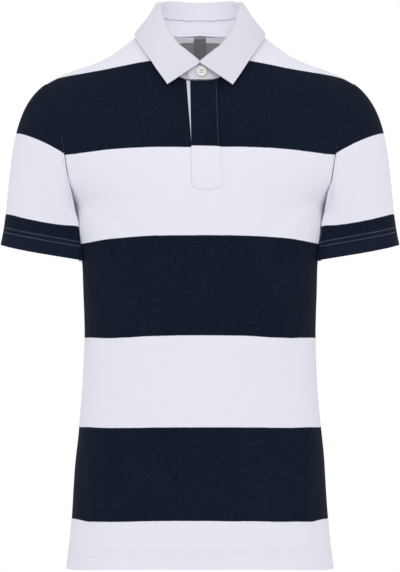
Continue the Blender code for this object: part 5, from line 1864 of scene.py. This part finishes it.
class PoloTrim(bpy.types.PropertyGroup):
    """Button, label and thread."""

    button: colour_property("Button", "Moulded shell of the button", (0.81, 0.82, 0.76))
    label: colour_property("Label", "Plain woven label", (0.185, 0.189, 0.200))
    white_thread: colour_property("White thread", "Stitches of hems and collar", (0.78, 0.78, 0.82))
    dark_thread: colour_property("Placket thread", "Stitches of the placket", (0.13, 0.15, 0.19))
    cuff_thread: colour_property("Cuff thread", "Stitches of the sleeve hems", (0.24, 0.26, 0.32))
    button_radius: length_property("Button radius", "Radius of the collar button", 0.0069, 0.002)
    thread_width: length_property("Thread width", "Width of a stitch of thread", 0.00046, 0.0001)


class PoloStudio(bpy.types.PropertyGroup):
    """Lights and floor."""

    key: power_property("Key light", "Power of the soft light high in front", 13.0)
    sides: power_property("Side lights", "Power of the two soft lights beside it", 2.1)
    neck: power_property("Neck light", "Power of the small light into the neck", 0.055)
    fill: FloatProperty(name="Fill", description="Strength of the light from all round", default=0.87, min=0)
    floor: colour_property("Floor", "Plain pale floor", (0.86, 0.86, 0.86))


# ---- studio ----------------------------------------------


def set_camera(scene):
    """The camera at the photograph's viewing angle."""
    camera = bpy.data.objects.new("camera", bpy.data.cameras.new("camera"))
    camera.data.sensor_fit = "HORIZONTAL"
    camera.data.sensor_width, camera.data.lens = CAMERA_SENSOR, CAMERA_LENS
    camera.location = CAMERA_PLACE
    camera.rotation_euler = (math.pi / 2 + math.atan(LEVEL_PIXELS / FOCAL_PIXELS), 0.0, 0.0)
    scene.collection.objects.link(camera)
    scene.camera = camera


def hang_lamp(scene, lamp, power):
    """A soft square light that looks at its aim and isn't seen itself."""
    light = bpy.data.lights.new(lamp.name, "AREA")
    light.shape, light.size, light.energy = "SQUARE", lamp.size, power
    holder = bpy.data.objects.new(lamp.name, light)
    holder.location = lamp.place
    holder.rotation_euler = (lamp.aim - Vector(lamp.place)).to_track_quat("-Z", "Y").to_euler()
    holder.visible_camera = False
    scene.collection.objects.link(holder)


def white_surroundings(fill):
    """White all round: seen at full strength, and lighting the shirt at the strength of fill."""
    world = bpy.data.worlds.new("white_surroundings")
    world.use_nodes = True
    tree = world.node_tree
    light, seen = tree.nodes["Background"], tree.nodes.new("ShaderNodeBackground")
    for background, strength in ((light, fill), (seen, 1.0)):
        background.inputs["Color"].default_value = (1.0, 1.0, 1.0, 1.0)
        background.inputs["Strength"].default_value = strength
    path = tree.nodes.new("ShaderNodeLightPath")
    both = tree.nodes.new("ShaderNodeMixShader")
    tree.links.new(path.outputs["Is Camera Ray"], both.inputs[0])
    tree.links.new(light.outputs[0], both.inputs[1])
    tree.links.new(seen.outputs[0], both.inputs[2])
    tree.links.new(both.outputs[0], tree.nodes["World Output"].inputs["Surface"])
    return world


def lay_floor(scene, floor_colour):
    """A plain pale floor some way below the hem."""
    graph = Graph("pale_floor")
    place = graph.node("TexCoord", {}, output="Object")
    haze = graph.mottle(place, 3.0, 2.0)
    colour = graph.mix(haze, rgba(floor_colour, 0.985), rgba(floor_colour, 1.015))
    graph.set(Base_Color=colour, Roughness=0.7)
    half, low = FLOOR_HALF_WIDTH, HEM_Z - FLOOR_DROP
    corners = [(-half, -half, low), (half, -half, low), (half, half, low), (-half, half, low)]
    mesh = bpy.data.meshes.new("floor")
    mesh.from_pydata(corners, [], [(0, 1, 2, 3)])
    mesh.materials.append(graph.material)
    floor = bpy.data.objects.new("floor", mesh)
    scene.collection.objects.link(floor)


# ---- operators -------------------------------------------


class POLO_OT_panels(bpy.types.Operator):
    """Front and back panels of striped jersey, with their doubled hem"""

    bl_idname = "polo.panels"
    bl_label = "Front and back panels"

    def execute(self, context):
        _, _, front, back = panels()
        left_out = np.zeros((front.points.shape[0] - 1, front.points.shape[1] - 1), bool)
        left_out[BOX_ROW:, SLIT_COLUMN:SLIT_END_COLUMN] = True
        for name, net, cells in (("front_panel", front, left_out), ("back_panel", back, None)):
            parted = net.with_points(drawn_in(net.points, ("left", "right", "top"), 0.5 * SEAM_SHOWN))
            parted.normals, parted.left_out = net.normals, cells
            parted.across, parted.up = net.across, net.up
            piece = cloth_shell(name, parted, hem_thickness(net), jersey(), THIN_EDGE)
        return {"FINISHED"}


class POLO_OT_placket(bpy.types.Operator):
    """Striped strip over the front opening, and the white strip let in under it"""

    bl_idname = "polo.placket"
    bl_label = "Placket"

    def execute(self, context):
        under, over = placket_under(), placket_over()
        piece = cloth_shell("placket_under", under, CLOTH, twill())
        piece = cloth_shell("placket_over", over, CLOTH, jersey())
        return {"FINISHED"}


class POLO_OT_sleeves(bpy.types.Operator):
    """Two short sleeves with a doubled hem"""

    bl_idname = "polo.sleeves"
    bl_label = "Sleeves"

    def execute(self, context):
        for name, mirror in (("sleeve_left", False), ("sleeve_right", True)):
            net = sleeve(mirror)
            piece = cloth_shell(name, net, hem_thickness(net), jersey(), THIN_EDGE)
        return {"FINISHED"}


class POLO_OT_collar(bpy.types.Operator):
    """Collar stand and turned-down leaf of white twill"""

    bl_idname = "polo.collar"
    bl_label = "Collar"

    def execute(self, context):
        for name, net, held in (("collar_stand", stand(), "stretched"), ("collar_leaf", leaf(), "folded")):
            piece = cloth_shell(name, net, COLLAR_CLOTH, twill(), COLLAR_EDGE)
        return {"FINISHED"}


class POLO_OT_neck_trims(bpy.types.Operator):
    """Tape over the back neck seam, and the plain label under it"""

    bl_idname = "polo.neck_trims"
    bl_label = "Neck tape and label"

    def execute(self, context):
        parts = (
            ("neck_tape", tape_net(), twill(), "white_twill", "collar_stand", "laid"),
            ("neck_label", label_net(), label_cloth(), "grey_label", "back_panel", "hung"),
        )
        for name, net, finish, slot, under, held in parts:
            piece = cloth_shell(name, net, TAPE_CLOTH * THIN_SHARE, finish, THIN_EDGE)
        return {"FINISHED"}


class POLO_OT_button(bpy.types.Operator):
    """Four-hole collar button with its thread"""

    bl_idname = "polo.button"
    bl_label = "Collar button"

    def execute(self, context):
        trim = context.scene.polo_trim
        mesh = bpy.data.meshes.new("collar_button")
        points, faces = turned_button(trim.button_radius)
        mesh.from_pydata(points, [], faces)
        button = bpy.data.objects.new("collar_button_shell", mesh)
        context.scene.collection.objects.link(button)
        drill_holes(button)
        button.data.materials.clear()
        button.data.materials.append(button_shell())
        place = button_place()
        button.matrix_world = place
        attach(button, "root")
        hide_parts("collar_button")
        white = thread("white_thread", tuple(trim.white_thread))
        strands("button_thread", strand_paths(place), white)
        return {"FINISHED"}


class POLO_OT_stitching(bpy.types.Operator):
    """Rows of stitches on the hems, the placket and the collar"""

    bl_idname = "polo.stitching"
    bl_label = "Stitching"

    def execute(self, context):
        trim = context.scene.polo_trim
        white = thread("white_thread", tuple(trim.white_thread))
        dark = thread("placket_thread", tuple(trim.dark_thread))
        cuff = thread("cuff_thread", tuple(trim.cuff_thread))
        stitch_hems(white, cuff, trim.thread_width)
        stitch_placket(white, dark, trim.thread_width, context.scene.polo_stripes.first_foot)
        stitch_collar(white, trim.thread_width)
        stitch_tape(white, trim.thread_width)
        return {"FINISHED"}


class POLO_OT_stage(bpy.types.Operator):
    """Camera, soft studio lights, white surroundings and a plain pale floor"""

    bl_idname = "polo.stage"
    bl_label = "Studio"

    def execute(self, context):
        scene, studio = context.scene, context.scene.polo_studio
        set_camera(scene)
        for lamp in LAMPS:
            hang_lamp(scene, lamp, getattr(studio, lamp.power))
        scene.world = white_surroundings(studio.fill)
        scene.view_settings.view_transform = "Standard"
        scene.view_settings.look = "None"
        lay_floor(scene, tuple(studio.floor))
        return {"FINISHED"}


STEPS = (
    POLO_OT_stage,
    POLO_OT_panels,
    POLO_OT_placket,
    POLO_OT_sleeves,
    POLO_OT_collar,
    POLO_OT_neck_trims,
    POLO_OT_button,
    POLO_OT_stitching,
)


class POLO_PT_sidebar(bpy.types.Panel):
    """Lists the steps that build the shirt"""

    bl_idname = "POLO_PT_sidebar"
    bl_label = "Polo shirt"
    bl_space_type = "VIEW_3D"
    bl_region_type = "UI"
    bl_category = "Polo shirt"

    def draw(self, context):
        for title in GROUPS:
            group, box = getattr(context.scene, title), self.layout.box()
            for name in group.__annotations__:
                box.prop(group, name)
        for step in STEPS:
            self.layout.operator(step.bl_idname)


GROUPS = {
    "polo_cloth": PoloCloth,
    "polo_stripes": PoloStripes,
    "polo_trim": PoloTrim,
    "polo_studio": PoloStudio,
}


def register():
    for group in GROUPS.values():
        bpy.utils.register_class(group)
    for name, group in GROUPS.items():
        setattr(bpy.types.Scene, name, PointerProperty(type=group))
    for step in STEPS:
        bpy.utils.register_class(step)
    bpy.utils.register_class(POLO_PT_sidebar)


def unregister():
    bpy.utils.unregister_class(POLO_PT_sidebar)
    for step in reversed(STEPS):
        bpy.utils.unregister_class(step)
    for name in GROUPS:
        delattr(bpy.types.Scene, name)
    for group in reversed(list(GROUPS.values())):
        bpy.utils.unregister_class(group)


def main():
    """Builds the shirt and its studio."""
    register()
    for old in [o for o in bpy.data.objects if o.name in ("Cube", "Light", "Camera")]:
        bpy.data.objects.remove(old)
    for step in STEPS:
        group, name = step.bl_idname.split(".")
        getattr(getattr(bpy.ops, group), name)()


if __name__ == "__main__":
    main()
